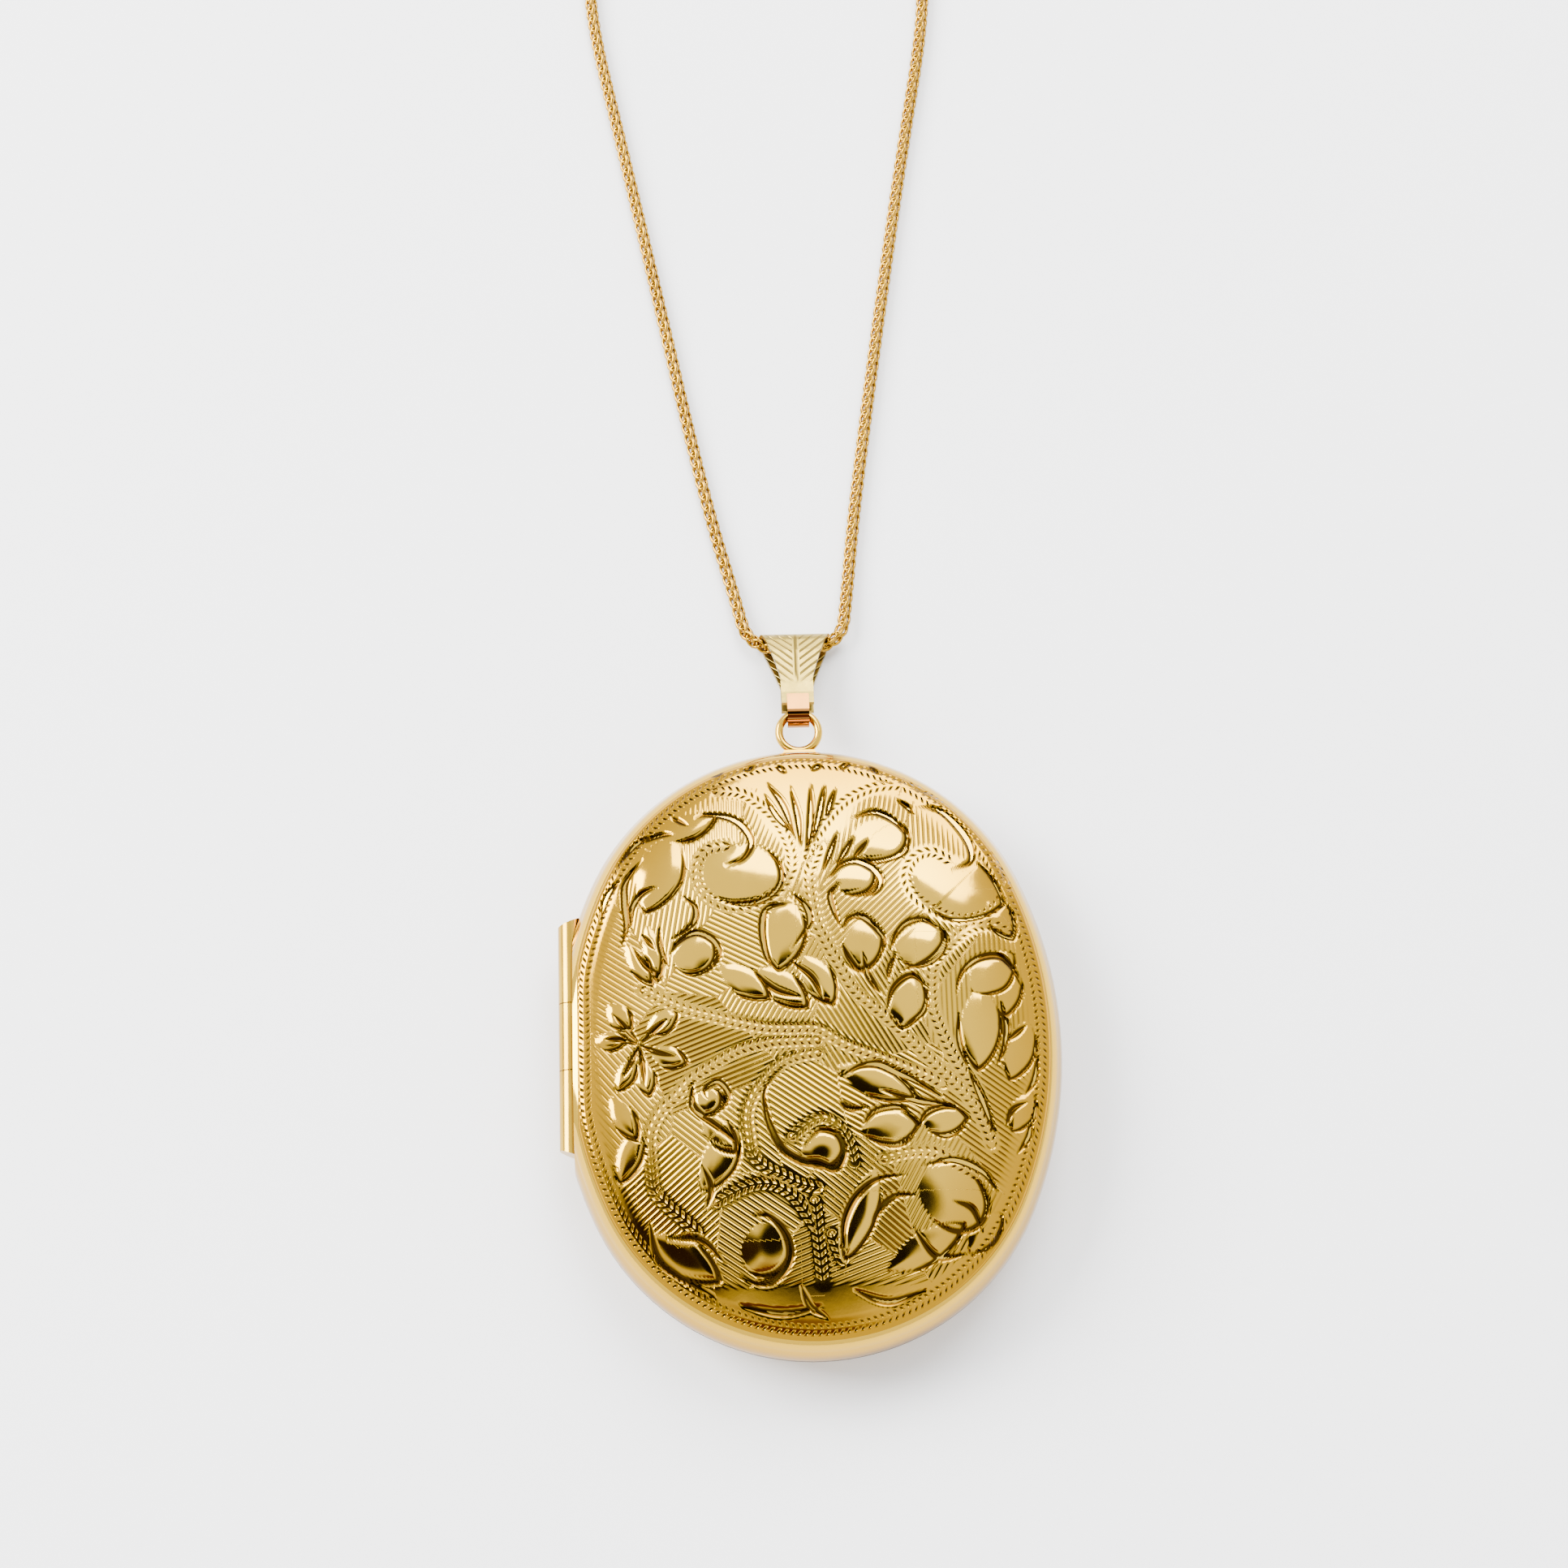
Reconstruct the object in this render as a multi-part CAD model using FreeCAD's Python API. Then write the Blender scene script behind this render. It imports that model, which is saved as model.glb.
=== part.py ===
"""Oval picture locket: two domed halves on a side hinge, a bail on a ring, and its neck chain.

Millimetres, +Z up. The locket lies on its back with its engraved face up. The origin is the centre
of the flat on the back, +Y runs from the locket towards its bail, and the hinge is on the -X side.
"""
import FreeCAD, Part
import math
import os

V = FreeCAD.Vector
X_AXIS, Y_AXIS, Z_AXIS = V(1, 0, 0), V(0, 1, 0), V(0, 0, 1)

# Overall size of the two halves
half_width = 18.0           # half of the oval's width
half_length = 22.1          # half of the oval's length
back_depth = 4.0            # height of the parting line above the flat of the back
front_depth = 4.7           # height of the front's crown above the parting line
parting_gap = 0.10          # clear space between the closed halves
wall = 0.5                  # thickness of both stamped shells
end_radius = 16.9           # radius of the oval's two end arcs
wall_height = 1.7           # height of the steep wall on each side of the parting line
wall_lean = 0.4             # how far that wall leans in
shoulder_inset = 1.9        # where the front's rounded shoulder meets its crown
shoulder_height = 3.05
chine_inset = 1.6           # where the back's rounded edge meets its shallow bottom
chine_height = 1.45
rest_inset = 9.5            # from the oval in to the flat on the back
hinge_flat_inset = 1.3      # how far the hinge side is flattened in from the oval

# Rims, picture frames, windows and cards inside the halves
rim_inset = 0.7             # from the oval in to the rims' outer side
rim_width = 2.3             # from there to the picture frame
rim_height = 1.5
lip_height = 0.6            # the back rim's lip, which the front rim closes over
lip_wall = 0.45
lip_setback = 0.5           # from the shell's inner wall to the lip
lip_clearance = 0.12
frame_depth = 0.15          # frame's face below its half's parting face
frame_width = 1.3
frame_thickness = 0.45
frame_band = 0.45           # the frame's upright band, which holds the window and the card
window_thickness = 0.25
card_thickness = 0.2

# Hinge
hinge_centre_y = 1.2
hinge_length = 17.6
middle_knuckle_length = 4.8
knuckle_radius = 0.9
knuckle_gap = 0.08
hinge_clearance = 0.12      # between a knuckle and the other half
hinge_axis_outset = 0.2     # from the flat of the halves out to the hinge axis
pin_radius = 0.35
pin_clearance = 0.05
end_slant = 0.7             # how much the barrel's ends slope in

# Thumb nick on the opening side
nick_centre_y = 1.6
nick_length = 4.0
nick_depth = 0.35
nick_radius = 7.0

# Hanging ring and its foot, soldered to the back
ring_radius = 1.45
ring_wire = 0.3             # radius of the ring's wire
ring_drop = 0.62            # ring's mid-plane below the parting line
foot_length = 0.5           # from the oval's end to the middle of the ring's wire
foot_width = 3.8
foot_tip_width = 2.2
foot_root = 1.0             # how far the foot starts inside the oval's end
foot_thickness = 0.9

# Bail: a folded strip and the small strap that ties it to the ring
bail_length = 6.26          # from the ring's wire to the centre of the fold
bail_width = 6.3
stem_width = 2.4
stem_length = 2.4
leaf_waist_length = 1.3     # from the stem to where the leaf starts to spread
leaf_waist_spread = 0.35
bail_open_end = 0.25        # from the ring's wire to the strip's ends
bail_sheet = 0.3
fold_radius = 0.85          # inside radius of the fold
strap_width = 1.6
strap_sheet = 0.32
strap_half_gap = 0.64       # half of the space between the strap's two sides
strap_bottom = 0.75         # from the wire's centre to the inside of the strap's lower turn
strap_top = 1.15

# Neck chain
chain_diameter = 1.05
coil_pitch = 1.1
coil_outer_radius = 8.85
coil_hollow_radius = 3.45
coil_x = -1.5
coil_reach = 71.15          # from the bail's fold to the coil's centre
tie_thickness = 0.12
tie_width = 2.0

# Bolt-ring clasp
clasp_radius = 2.3
clasp_tube = 0.55
clasp_bore = 0.36
bolt_radius = 0.29
clasp_open_from = 20.0      # degrees round the clasp's ring, anticlockwise from +X
clasp_gap_angle = 55.0
bolt_lap = 5.0              # how far the bolt's tip enters the ring past the gap
bolt_seat = 2.0             # clear space beyond the bolt's tip
slot_from = -48.0
slot_end_space = 4.0
slot_radius = 0.30
slot_rise = 0.5
spring_back = -120.0
trigger_post_radius = 0.2
trigger_knob_radius = 0.36
trigger_height = 0.3        # from the clasp's tube to the knob's centre
loop_angle = 215.0
loop_radius = 0.62
loop_wire = 0.24
left_hook_angle = 168.0     # where the left strand's end ring hooks the clasp's ring
clasp_offset_x = 4.6        # from the coil's centre to the clasp's centre
clasp_lift = 0.03           # clear space between the coil and the clasp
bolt_travel = 42.0          # degrees that the trigger slides round the ring
end_ring_radius = 1.2
end_ring_wire = 0.26
end_ring_play = 0.06        # clear space between an end ring and what it hooks

# Places that follow from the sizes above
end_centre_y = half_length - end_radius
side_centre_x = (end_centre_y ** 2 - (half_width - end_radius) ** 2) / (2 * (half_width - end_radius))
side_radius = half_width + side_centre_x
back_seam = back_depth
front_seam = back_depth + parting_gap
hinge_flat_x = -(half_width - hinge_flat_inset)
hinge_x = hinge_flat_x - hinge_axis_outset
hinge_z = back_depth + parting_gap / 2
barrel_low_y = hinge_centre_y - hinge_length / 2
barrel_high_y = hinge_centre_y + hinge_length / 2
middle_low_y = hinge_centre_y - middle_knuckle_length / 2
middle_high_y = hinge_centre_y + middle_knuckle_length / 2
ring_centre = V(0, half_length + foot_length + ring_radius, back_seam - ring_drop)
ring_top_y = ring_centre.y + ring_radius
fold_outer = fold_radius + bail_sheet
bail_drop = ring_centre.z - fold_outer
bail_slope = math.degrees(math.asin(bail_drop / bail_length))
fold_y = ring_top_y + math.sqrt(bail_length ** 2 - bail_drop ** 2)
coil_centre = V(coil_x, fold_y + coil_reach, 0)
coil_bottom = tie_thickness
coil_top = coil_bottom + 2 * chain_diameter
clasp_open_to = clasp_open_from + clasp_gap_angle
bolt_tip = clasp_open_to + bolt_lap
bolt_trigger_angle = slot_from + bolt_travel + slot_end_space
clasp_centre = V(coil_centre.x + clasp_offset_x, coil_centre.y, coil_top + clasp_lift + clasp_tube)


def beyond_bail(points):
    """Turn points given as (x, distance beyond the bail's fold, height) into places on the table."""
    return [V(x, fold_y + along, z) for x, along, z in points]


# The chain's strands: each runs through the bail's fold, out over the table and up to the coil
left_route = beyond_bail([
    (0, -0.1, 1.15), (-3.4, -0.05, 1.13), (-4.45, 4.65, 0.62), (-5.9, 10.15, 0.53), (-7.6, 18.15, 0.53),
    (-9.6, 28.65, 0.53), (-12.25, 42.15, 0.53), (-14.9, 55.15, 0.53), (-14.6, 61.65, 0.53),
    (-10.9, 66.05, 0.6), (-9.8, 70.65, 0.65)])
right_route = beyond_bail([
    (0, -0.1, 1.15), (3.45, 0, 1.13), (4.1, 4.85, 0.62), (4.7, 10.15, 0.53), (5.8, 17.65, 0.53),
    (7.7, 29.65, 0.53), (9.8, 42.15, 0.53), (12.1, 54.65, 0.53), (11.9, 60.65, 0.6), (8.0, 65.65, 1.2),
    (6.8, 70.65, 1.68)])
left_tail = beyond_bail([(-4.8, 71.35, 1.1), (-3.2, 72.45, 1.7), (-1.15, 72.05, 2.72)])
right_tail = beyond_bail([(-4.5, 69.85, 1.5), (-3.5, 68.65, 2.3), (-2.15, 68.0, 2.8)])


def box(x0, x1, y0, y1, z0, z1):
    return Part.makeBox(x1 - x0, y1 - y0, z1 - z0, V(x0, y0, z0))


def rod(radius, start, end):
    """A cylinder from one point to another."""
    along = end - start
    return Part.makeCylinder(radius, along.Length, start, along)


def oval_wire(inset, z):
    """The oval's outline, drawn with two end arcs and two side arcs, moved in by an inset."""
    end = end_radius - inset
    side = side_radius - inset
    joint = V(end_centre_y, side_centre_x, 0).normalize()
    corner = V(end * joint.y, end_centre_y + end * joint.x, z)
    right, left = corner.x, -corner.x
    high, low = corner.y, -corner.y
    across = side - side_centre_x
    along = end_centre_y + end
    arcs = [Part.Arc(V(right, high, z), V(0, along, z), V(left, high, z)),
            Part.Arc(V(left, high, z), V(-across, 0, z), V(left, low, z)),
            Part.Arc(V(left, low, z), V(0, -along, z), V(right, low, z)),
            Part.Arc(V(right, low, z), V(across, 0, z), V(right, high, z))]
    return Part.Wire([arc.toShape() for arc in arcs])


def oval_plate(inset, z0, z1):
    """An upright oval block, its side moved in from the outline by an inset."""
    return Part.Face(oval_wire(inset, z0)).extrude(V(0, 0, z1 - z0))


def turned_sector(profile, axis_point, edge_direction, edge_radius, sweep):
    """Turn a profile, given as edges of (distance in from the oval, height), round one arc's centre."""
    face = Part.Face(Part.Wire(profile))
    face.rotate(V(0, 0, 0), X_AXIS, 90)
    face.rotate(V(0, 0, 0), Z_AXIS, 180)
    face.translate(V(edge_radius, 0, 0))
    face.rotate(V(0, 0, 0), Z_AXIS, edge_direction)
    face.translate(axis_point)
    return face.revolve(axis_point, Z_AXIS, sweep)


def oval_solid(curves, inset, crown, base):
    """A pillow whose section, from its edge in, is the given curves, with a flat lens in its middle."""
    edges = list(curves)
    edges.append(Part.LineSegment(V(end_radius, crown, 0), V(end_radius, base, 0)).toShape())
    edges.append(Part.LineSegment(V(end_radius, base, 0), V(inset, base, 0)).toShape())
    edges = Part.__sortEdges__(edges)
    spread = math.degrees(math.atan2(end_centre_y, side_centre_x))
    end_sweep = 180 - 2 * spread
    side_sweep = 2 * spread
    low, high = sorted([crown, base])
    tips = [V(0, end_centre_y, low), V(0, -end_centre_y, low)]
    sides = [Part.Arc(tips[0], V(x, 0, low), tips[1]).toShape()
             for x in (end_radius - half_width, half_width - end_radius)]
    solid = Part.Face(Part.Wire(sides)).extrude(V(0, 0, high - low))
    for flip in (0, 180):
        sign = 1 if flip == 0 else -1
        solid = solid.fuse(turned_sector(edges, V(0, sign * end_centre_y, 0), flip + spread,
                                         end_radius, end_sweep))
        solid = solid.fuse(turned_sector(edges, V(-sign * side_centre_x, 0, 0), flip - spread,
                                         side_radius, side_sweep))
    return solid


def bowl_arc(from_inset, level_inset, level, rise):
    """A wide arc that is level at one inset and differs by rise at an outer one."""
    run = level_inset - from_inset
    radius = (run ** 2 + rise ** 2) / (2 * abs(rise))
    middle = run / 2
    sag = radius - math.sqrt(radius ** 2 - middle ** 2)
    sign = 1 if rise > 0 else -1
    return Part.Arc(V(from_inset, level - rise, 0), V(level_inset - middle, level - sign * sag, 0),
                    V(level_inset, level, 0)).toShape()


def dome(inset, lift):
    """The front's solid pillow: a steep wall, a rounded shoulder and a low crown."""
    base = front_seam
    crown = front_seam + front_depth - lift
    brow = shoulder_inset + lift
    brow_z = front_seam + shoulder_height - lift
    wall_top = base + wall_height
    curves = [Part.Arc(V(inset, base, 0), V(inset + wall_lean * 0.3, base + wall_height * 0.55, 0),
                       V(inset + wall_lean, wall_top, 0)).toShape(),
              Part.Arc(V(inset + wall_lean, wall_top, 0),
                       V(inset + wall_lean + 0.32 * (brow - inset - wall_lean),
                         wall_top + 0.62 * (brow_z - wall_top), 0), V(brow, brow_z, 0)).toShape(),
              bowl_arc(brow, end_radius, crown, crown - brow_z)]
    return oval_solid(curves, inset, crown, base)


def dish(inset, lift):
    """The back's solid dish: a flat middle that curves up to a steep wall."""
    base = back_seam
    floor = lift
    wall_foot = base - wall_height
    chine = chine_inset + lift
    chine_z = chine_height + lift
    curves = [Part.Arc(V(inset, base, 0), V(inset + wall_lean * 0.3, base - wall_height * 0.55, 0),
                       V(inset + wall_lean, wall_foot, 0)).toShape(),
              Part.Arc(V(inset + wall_lean, wall_foot, 0),
                       V(inset + wall_lean + 0.32 * (chine - inset - wall_lean),
                         wall_foot + 0.62 * (chine_z - wall_foot), 0), V(chine, chine_z, 0)).toShape(),
              bowl_arc(chine, rest_inset, floor, floor - chine_z),
              Part.LineSegment(V(rest_inset, floor, 0), V(end_radius, floor, 0)).toShape()]
    return oval_solid(curves, inset, floor, base)


def flattened(solid, inset):
    """Cut the hinge side of an oval off square, inset from the flat."""
    far = 2 * half_length
    return solid.cut(box(hinge_flat_x - far, hinge_flat_x + inset, -far, far, -far, far))


def barrel(radius, low_y, high_y):
    return rod(radius, V(hinge_x, low_y, hinge_z), V(hinge_x, high_y, hinge_z))


front_outer = flattened(dome(0, 0), 0)
front_cavity = flattened(dome(rim_inset - wall_lean, wall), wall)
back_outer = flattened(dish(0, 0), 0)
back_cavity = flattened(dish(rim_inset - wall_lean, wall), wall)


def hinge_room(solid, own_middle):
    """Cut the hinge's trough: close to the half's own knuckles and clear of the others."""
    clear = knuckle_radius + hinge_clearance
    middle_radius = knuckle_radius if own_middle else clear
    outer_radius = clear if own_middle else knuckle_radius
    spread = 0 if own_middle else knuckle_gap
    low_end = barrel_low_y - (knuckle_gap if own_middle else 0)
    high_end = barrel_high_y + (knuckle_gap if own_middle else 0)
    troughs = [barrel(middle_radius, middle_low_y - spread, middle_high_y + spread),
               barrel(outer_radius, low_end, middle_low_y - spread),
               barrel(outer_radius, middle_high_y + spread, high_end)]
    return solid.cut(troughs)


def thumb_nick():
    """A shallow scoop in the front's edge, to get a nail in."""
    centre_x = half_width + nick_radius - nick_depth
    scoop = Part.makeCylinder(nick_radius, 0.55, V(centre_x, nick_centre_y, front_seam - 0.01), Z_AXIS)
    reach = nick_length / 2
    return scoop.common(box(0, 2 * half_width, nick_centre_y - reach, nick_centre_y + reach,
                            front_seam - 1, front_seam + 1))


def make_front_cover():
    return hinge_room(front_outer.cut(front_cavity).cut(thumb_nick()), True)


def make_back_cover():
    return hinge_room(back_outer.cut(back_cavity), False)


frame_inset = rim_inset + rim_width
lip_inset = rim_inset + lip_setback


def rim_band(z0, z1):
    """A flat oval band inside a half's wall, square along the hinge side."""
    band = oval_plate(rim_inset, z0, z1).cut(oval_plate(frame_inset, z0 - 1, z1 + 1))
    return flattened(band, wall)


def make_back_rim():
    """The band round the back's mouth, with the upright lip that holds the locket shut."""
    lip = oval_plate(lip_inset, back_seam - 0.2, back_seam + lip_height)
    lip = lip.cut(oval_plate(lip_inset + lip_wall, 0, back_seam + 2))
    lip = lip.cut(box(-2 * half_width, hinge_x + knuckle_radius + 2.4, -half_length, half_length, 0, 9))
    return hinge_room(rim_band(back_seam - rim_height, back_seam).fuse(lip), False)


def make_front_rim():
    """The band round the front's mouth, grooved to pass over the back rim's lip."""
    groove_top = back_seam + lip_height + lip_clearance
    groove = oval_plate(lip_inset - lip_clearance, front_seam - 1, groove_top)
    groove = groove.cut(oval_plate(lip_inset + lip_wall + lip_clearance, front_seam - 2, front_seam + 2))
    return hinge_room(rim_band(front_seam, front_seam + rim_height).cut(groove), True)


def picture_frame(seam, inward):
    """An oval frame inside a rim: a flat face ring with a band behind it."""
    face_z = sorted([seam + inward * frame_depth, seam + inward * (frame_depth + frame_thickness)])
    band_z = sorted([face_z[0], face_z[1], seam + inward * (frame_depth + frame_thickness + frame_band)])
    face = oval_plate(frame_inset, face_z[0], face_z[1])
    face = face.cut(oval_plate(frame_inset + frame_width, face_z[0] - 1, face_z[1] + 1))
    band = oval_plate(frame_inset, band_z[0], band_z[2])
    band = band.cut(oval_plate(frame_inset + lip_wall, band_z[0] - 1, band_z[2] + 1))
    return face.fuse(band).removeSplitter()


def behind_frame(seam, inward, start, thickness):
    """An oval sheet that fills the frame's band, its near face a given distance behind the face ring."""
    near = frame_depth + frame_thickness + start
    levels = sorted([seam + inward * near, seam + inward * (near + thickness)])
    return oval_plate(frame_inset + lip_wall, levels[0], levels[1])


def slant_cutter(end_y, side):
    """A wedge that slopes the outer end of a barrel back towards its outside."""
    near = V(hinge_x + knuckle_radius, end_y, hinge_z - 2)
    far = V(hinge_x - knuckle_radius - 0.01, end_y - side * end_slant, hinge_z - 2)
    out = V(hinge_x - knuckle_radius - 0.01, end_y + side * 2, hinge_z - 2)
    corner = V(hinge_x + knuckle_radius, end_y + side * 2, hinge_z - 2)
    return Part.Face(Part.makePolygon([near, far, out, corner, near])).extrude(V(0, 0, 4))


def make_outer_knuckle(side):
    """One of the back's two knuckles; the pin is pressed in it."""
    if side > 0:
        tube = barrel(knuckle_radius, middle_high_y + knuckle_gap, barrel_high_y)
    else:
        tube = barrel(knuckle_radius, barrel_low_y, middle_low_y - knuckle_gap)
    end_y = barrel_high_y if side > 0 else barrel_low_y
    tube = tube.cut(slant_cutter(end_y, side))
    return tube.cut(make_hinge_pin())


def make_middle_knuckle():
    tube = barrel(knuckle_radius, middle_low_y, middle_high_y)
    return tube.cut(barrel(pin_radius + pin_clearance, middle_low_y - 1, middle_high_y + 1))


def make_hinge_pin():
    return barrel(pin_radius, barrel_low_y + end_slant, barrel_high_y - end_slant)


def make_hanging_ring():
    return Part.makeTorus(ring_radius, ring_wire, ring_centre, Z_AXIS)


def make_ring_foot():
    """The flared block that carries the ring off the end of the back."""
    def slice_at(y, width, thickness):
        z = ring_centre.z
        points = [V(-width / 2, y, z - thickness / 2), V(width / 2, y, z - thickness / 2),
                  V(width / 2, y, z + thickness / 2), V(-width / 2, y, z + thickness / 2)]
        return Part.makePolygon(points + [points[0]])
    wide = slice_at(half_length - foot_root, foot_width, foot_thickness)
    narrow = slice_at(half_length + foot_length, foot_tip_width, 2 * ring_wire)
    block = Part.makeLoft([wide, narrow], True, True)
    beyond = box(-half_width, half_width, half_length - foot_root, 2 * half_length, 0, back_seam)
    return block.cut(make_hanging_ring()).cut(dish(0, 0).common(beyond))


def bail_outline(half_top, half_stem, low, high):
    """The leaf's outline seen square on: a straight stem that sweeps out to the wide top."""
    stem_end = low + stem_length
    waist = half_stem + leaf_waist_spread
    waist_y = stem_end + leaf_waist_length
    right = Part.BSplineCurve()
    right.interpolate(Points=[V(half_stem, stem_end, 0), V(waist, waist_y, 0),
                              V(half_top, high, 0)], InitialTangent=V(0, 1, 0))
    left = Part.BSplineCurve()
    left.interpolate(Points=[V(-half_stem, stem_end, 0), V(-waist, waist_y, 0),
                             V(-half_top, high, 0)], InitialTangent=V(0, 1, 0))
    edges = [Part.LineSegment(V(-half_stem, low, 0), V(half_stem, low, 0)).toShape(),
             Part.LineSegment(V(half_stem, low, 0), V(half_stem, stem_end, 0)).toShape(),
             right.toShape(),
             Part.LineSegment(V(half_top, high, 0), V(-half_top, high, 0)).toShape(),
             left.toShape(),
             Part.LineSegment(V(-half_stem, stem_end, 0), V(-half_stem, low, 0)).toShape()]
    face = Part.Face(Part.Wire(Part.__sortEdges__(edges)))
    face.translate(V(0, 0, -5))
    return face.extrude(V(0, 0, 10))


def bail_fold():
    """The strip's side view: two leaves that part from the strap and meet in the rolled top."""
    stem_offset = strap_half_gap - bail_sheet / 2
    middle = fold_radius + bail_sheet / 2
    start = ring_wire + bail_open_end
    clamp = strap_top + 0.45
    outline = []
    for offset in (bail_sheet / 2, -bail_sheet / 2):
        radius = middle + offset
        stem = stem_offset + offset
        outline.append([V(0, start, stem), V(0, clamp, stem), V(0, bail_length - 1.0, radius),
                        V(0, bail_length, radius), V(0, bail_length + radius, 0),
                        V(0, bail_length, -radius), V(0, bail_length - 1.0, -radius), V(0, clamp, -stem),
                        V(0, start, -stem)])
    outer, inner = outline

    def side(points):
        return [Part.LineSegment(points[0], points[1]).toShape(),
                Part.LineSegment(points[1], points[2]).toShape(),
                Part.LineSegment(points[2], points[3]).toShape(),
                Part.Arc(points[3], points[4], points[5]).toShape(),
                Part.LineSegment(points[5], points[6]).toShape(),
                Part.LineSegment(points[6], points[7]).toShape(),
                Part.LineSegment(points[7], points[8]).toShape()]
    edges = side(outer) + side(inner)
    edges.append(Part.LineSegment(outer[0], inner[0]).toShape())
    edges.append(Part.LineSegment(outer[8], inner[8]).toShape())
    face = Part.Face(Part.Wire(Part.__sortEdges__(edges)))
    face.translate(V(-bail_width, 0, 0))
    return face.extrude(V(2 * bail_width, 0, 0))


def placed_bail(shape):
    """Move a piece from the bail's own frame to the ring's wire and lay it down on its slope."""
    shape.translate(V(0, ring_top_y, ring_centre.z))
    shape.rotate(V(0, ring_top_y, ring_centre.z), X_AXIS, -bail_slope)
    return shape


def make_bail():
    top = bail_length + 2 * fold_outer
    outline = bail_outline(bail_width / 2, stem_width / 2, ring_wire + bail_open_end, top)
    return placed_bail(bail_fold().common(outline))


def make_bail_strap():
    """The small closed band round the ring's wire and the two stems."""
    inner_half = strap_half_gap
    outer_half = strap_half_gap + strap_sheet

    def loop(half, low, high):
        turn = low + half * 0.8
        edges = [Part.LineSegment(V(0, turn, half), V(0, high, half)).toShape(),
                 Part.LineSegment(V(0, high, half), V(0, high, -half)).toShape(),
                 Part.LineSegment(V(0, high, -half), V(0, turn, -half)).toShape(),
                 Part.Arc(V(0, turn, -half), V(0, low, 0), V(0, turn, half)).toShape()]
        face = Part.Face(Part.Wire(Part.__sortEdges__(edges)))
        face.translate(V(-strap_width / 2, 0, 0))
        return face.extrude(V(strap_width, 0, 0))
    band = loop(outer_half, -strap_bottom - strap_sheet, strap_top)
    return placed_bail(band.cut(loop(inner_half, -strap_bottom, strap_top + 1)))


def rounded_path(points):
    """Straight runs joined by tangent arcs as large as their runs allow; prints the arcs' radii."""
    edges = []
    radii = []
    here = points[0]
    for i in range(1, len(points) - 1):
        before = points[i] - points[i - 1]
        after = points[i + 1] - points[i]
        turn = before.getAngle(after)
        reach = 0.45 * min(before.Length, after.Length)
        radius = reach / math.tan(turn / 2)
        start = points[i] - before.normalize() * reach
        end = points[i] + after.normalize() * reach
        inward = (end - points[i]) + (start - points[i])
        inward.normalize()
        mid = points[i] + inward * (radius / math.cos(turn / 2) - radius)
        edges.append(Part.LineSegment(here, start).toShape())
        edges.append(Part.Arc(start, mid, end).toShape())
        radii.append(round(radius, 1))
        here = end
    edges.append(Part.LineSegment(here, points[-1]).toShape())
    print("arc radii", radii)
    return Part.Wire(edges)


def cord_tube(points, diameter):
    path = rounded_path(points)
    circle = Part.Circle(points[0], points[1] - points[0], diameter / 2).toShape()
    tube = path.makePipeShell([Part.Wire(circle)], True, False)
    straight = math.pi * diameter ** 2 / 4 * path.Length
    print("tube length", round(path.Length, 2), "volume ratio", round(tube.Volume / straight, 4))
    return tube


def make_chain_coil():
    """The wound turns of both strands, as one ring-shaped solid with softened edges."""
    outer = Part.makeCylinder(coil_outer_radius, coil_top - coil_bottom,
                              V(coil_centre.x, coil_centre.y, coil_bottom))
    hollow = Part.makeCylinder(coil_hollow_radius, 10, V(coil_centre.x, coil_centre.y, -5))
    ring = outer.cut(hollow)
    rims = [edge for edge in ring.Edges if isinstance(edge.Curve, Part.Circle)]
    return ring.makeFillet(0.45, rims)


def make_coil_tie():
    """A narrow band round the far side of the coil, holding its turns together."""
    x, y = coil_centre.x, coil_centre.y
    far = y + coil_outer_radius + tie_thickness
    near = y + coil_hollow_radius - tie_thickness - 0.3
    sleeve = box(x - tie_width / 2, x + tie_width / 2, near, far, 0, coil_top + tie_thickness)
    rims = [edge for edge in sleeve.Edges if abs(edge.tangentAt(0).x) > 0.9]
    return sleeve.makeFillet(0.4, rims).cut(make_chain_coil())


def on_clasp(angle, radius=clasp_radius):
    turn = math.radians(angle)
    return clasp_centre + V(radius * math.cos(turn), radius * math.sin(turn), 0)


def clasp_arc(section, start_angle, end_angle):
    """A round bar bent along the clasp's ring between two angles."""
    circle = Part.Circle(on_clasp(start_angle), V(-math.sin(math.radians(start_angle)),
                                                  math.cos(math.radians(start_angle)), 0), section)
    face = Part.Face(Part.Wire(circle.toShape()))
    return face.revolve(clasp_centre, Z_AXIS, end_angle - start_angle)


def make_clasp_body():
    """The hollow ring of the clasp, open where the bolt crosses, slotted for the trigger."""
    tube = clasp_arc(clasp_tube, clasp_open_to, clasp_open_from + 360)
    bore = clasp_arc(clasp_bore, spring_back, clasp_open_from + 1)
    catch = clasp_arc(clasp_bore, clasp_open_to - 1, bolt_tip + bolt_seat)
    slot = clasp_arc(slot_radius, slot_from - slot_end_space, bolt_trigger_angle + 2 * slot_end_space)
    slot.translate(V(0, 0, slot_rise))
    return tube.cut(bore).cut(catch).cut(slot)


def make_clasp_bolt():
    """The curved bolt with its trigger; it slides back round the ring to open the clasp."""
    rod_part = clasp_arc(bolt_radius, bolt_trigger_angle - 3, bolt_tip)
    foot = on_clasp(bolt_trigger_angle)
    top = foot + V(0, 0, clasp_tube + trigger_height)
    post = rod(trigger_post_radius, foot, top)
    knob = Part.makeSphere(trigger_knob_radius, top)
    return rod_part.fuse([post, knob]).removeSplitter()


def make_clasp_spring():
    """The coil spring behind the bolt, as a plain curved bar of its outer size."""
    return clasp_arc(bolt_radius, spring_back + 1, bolt_trigger_angle - 4)


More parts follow.
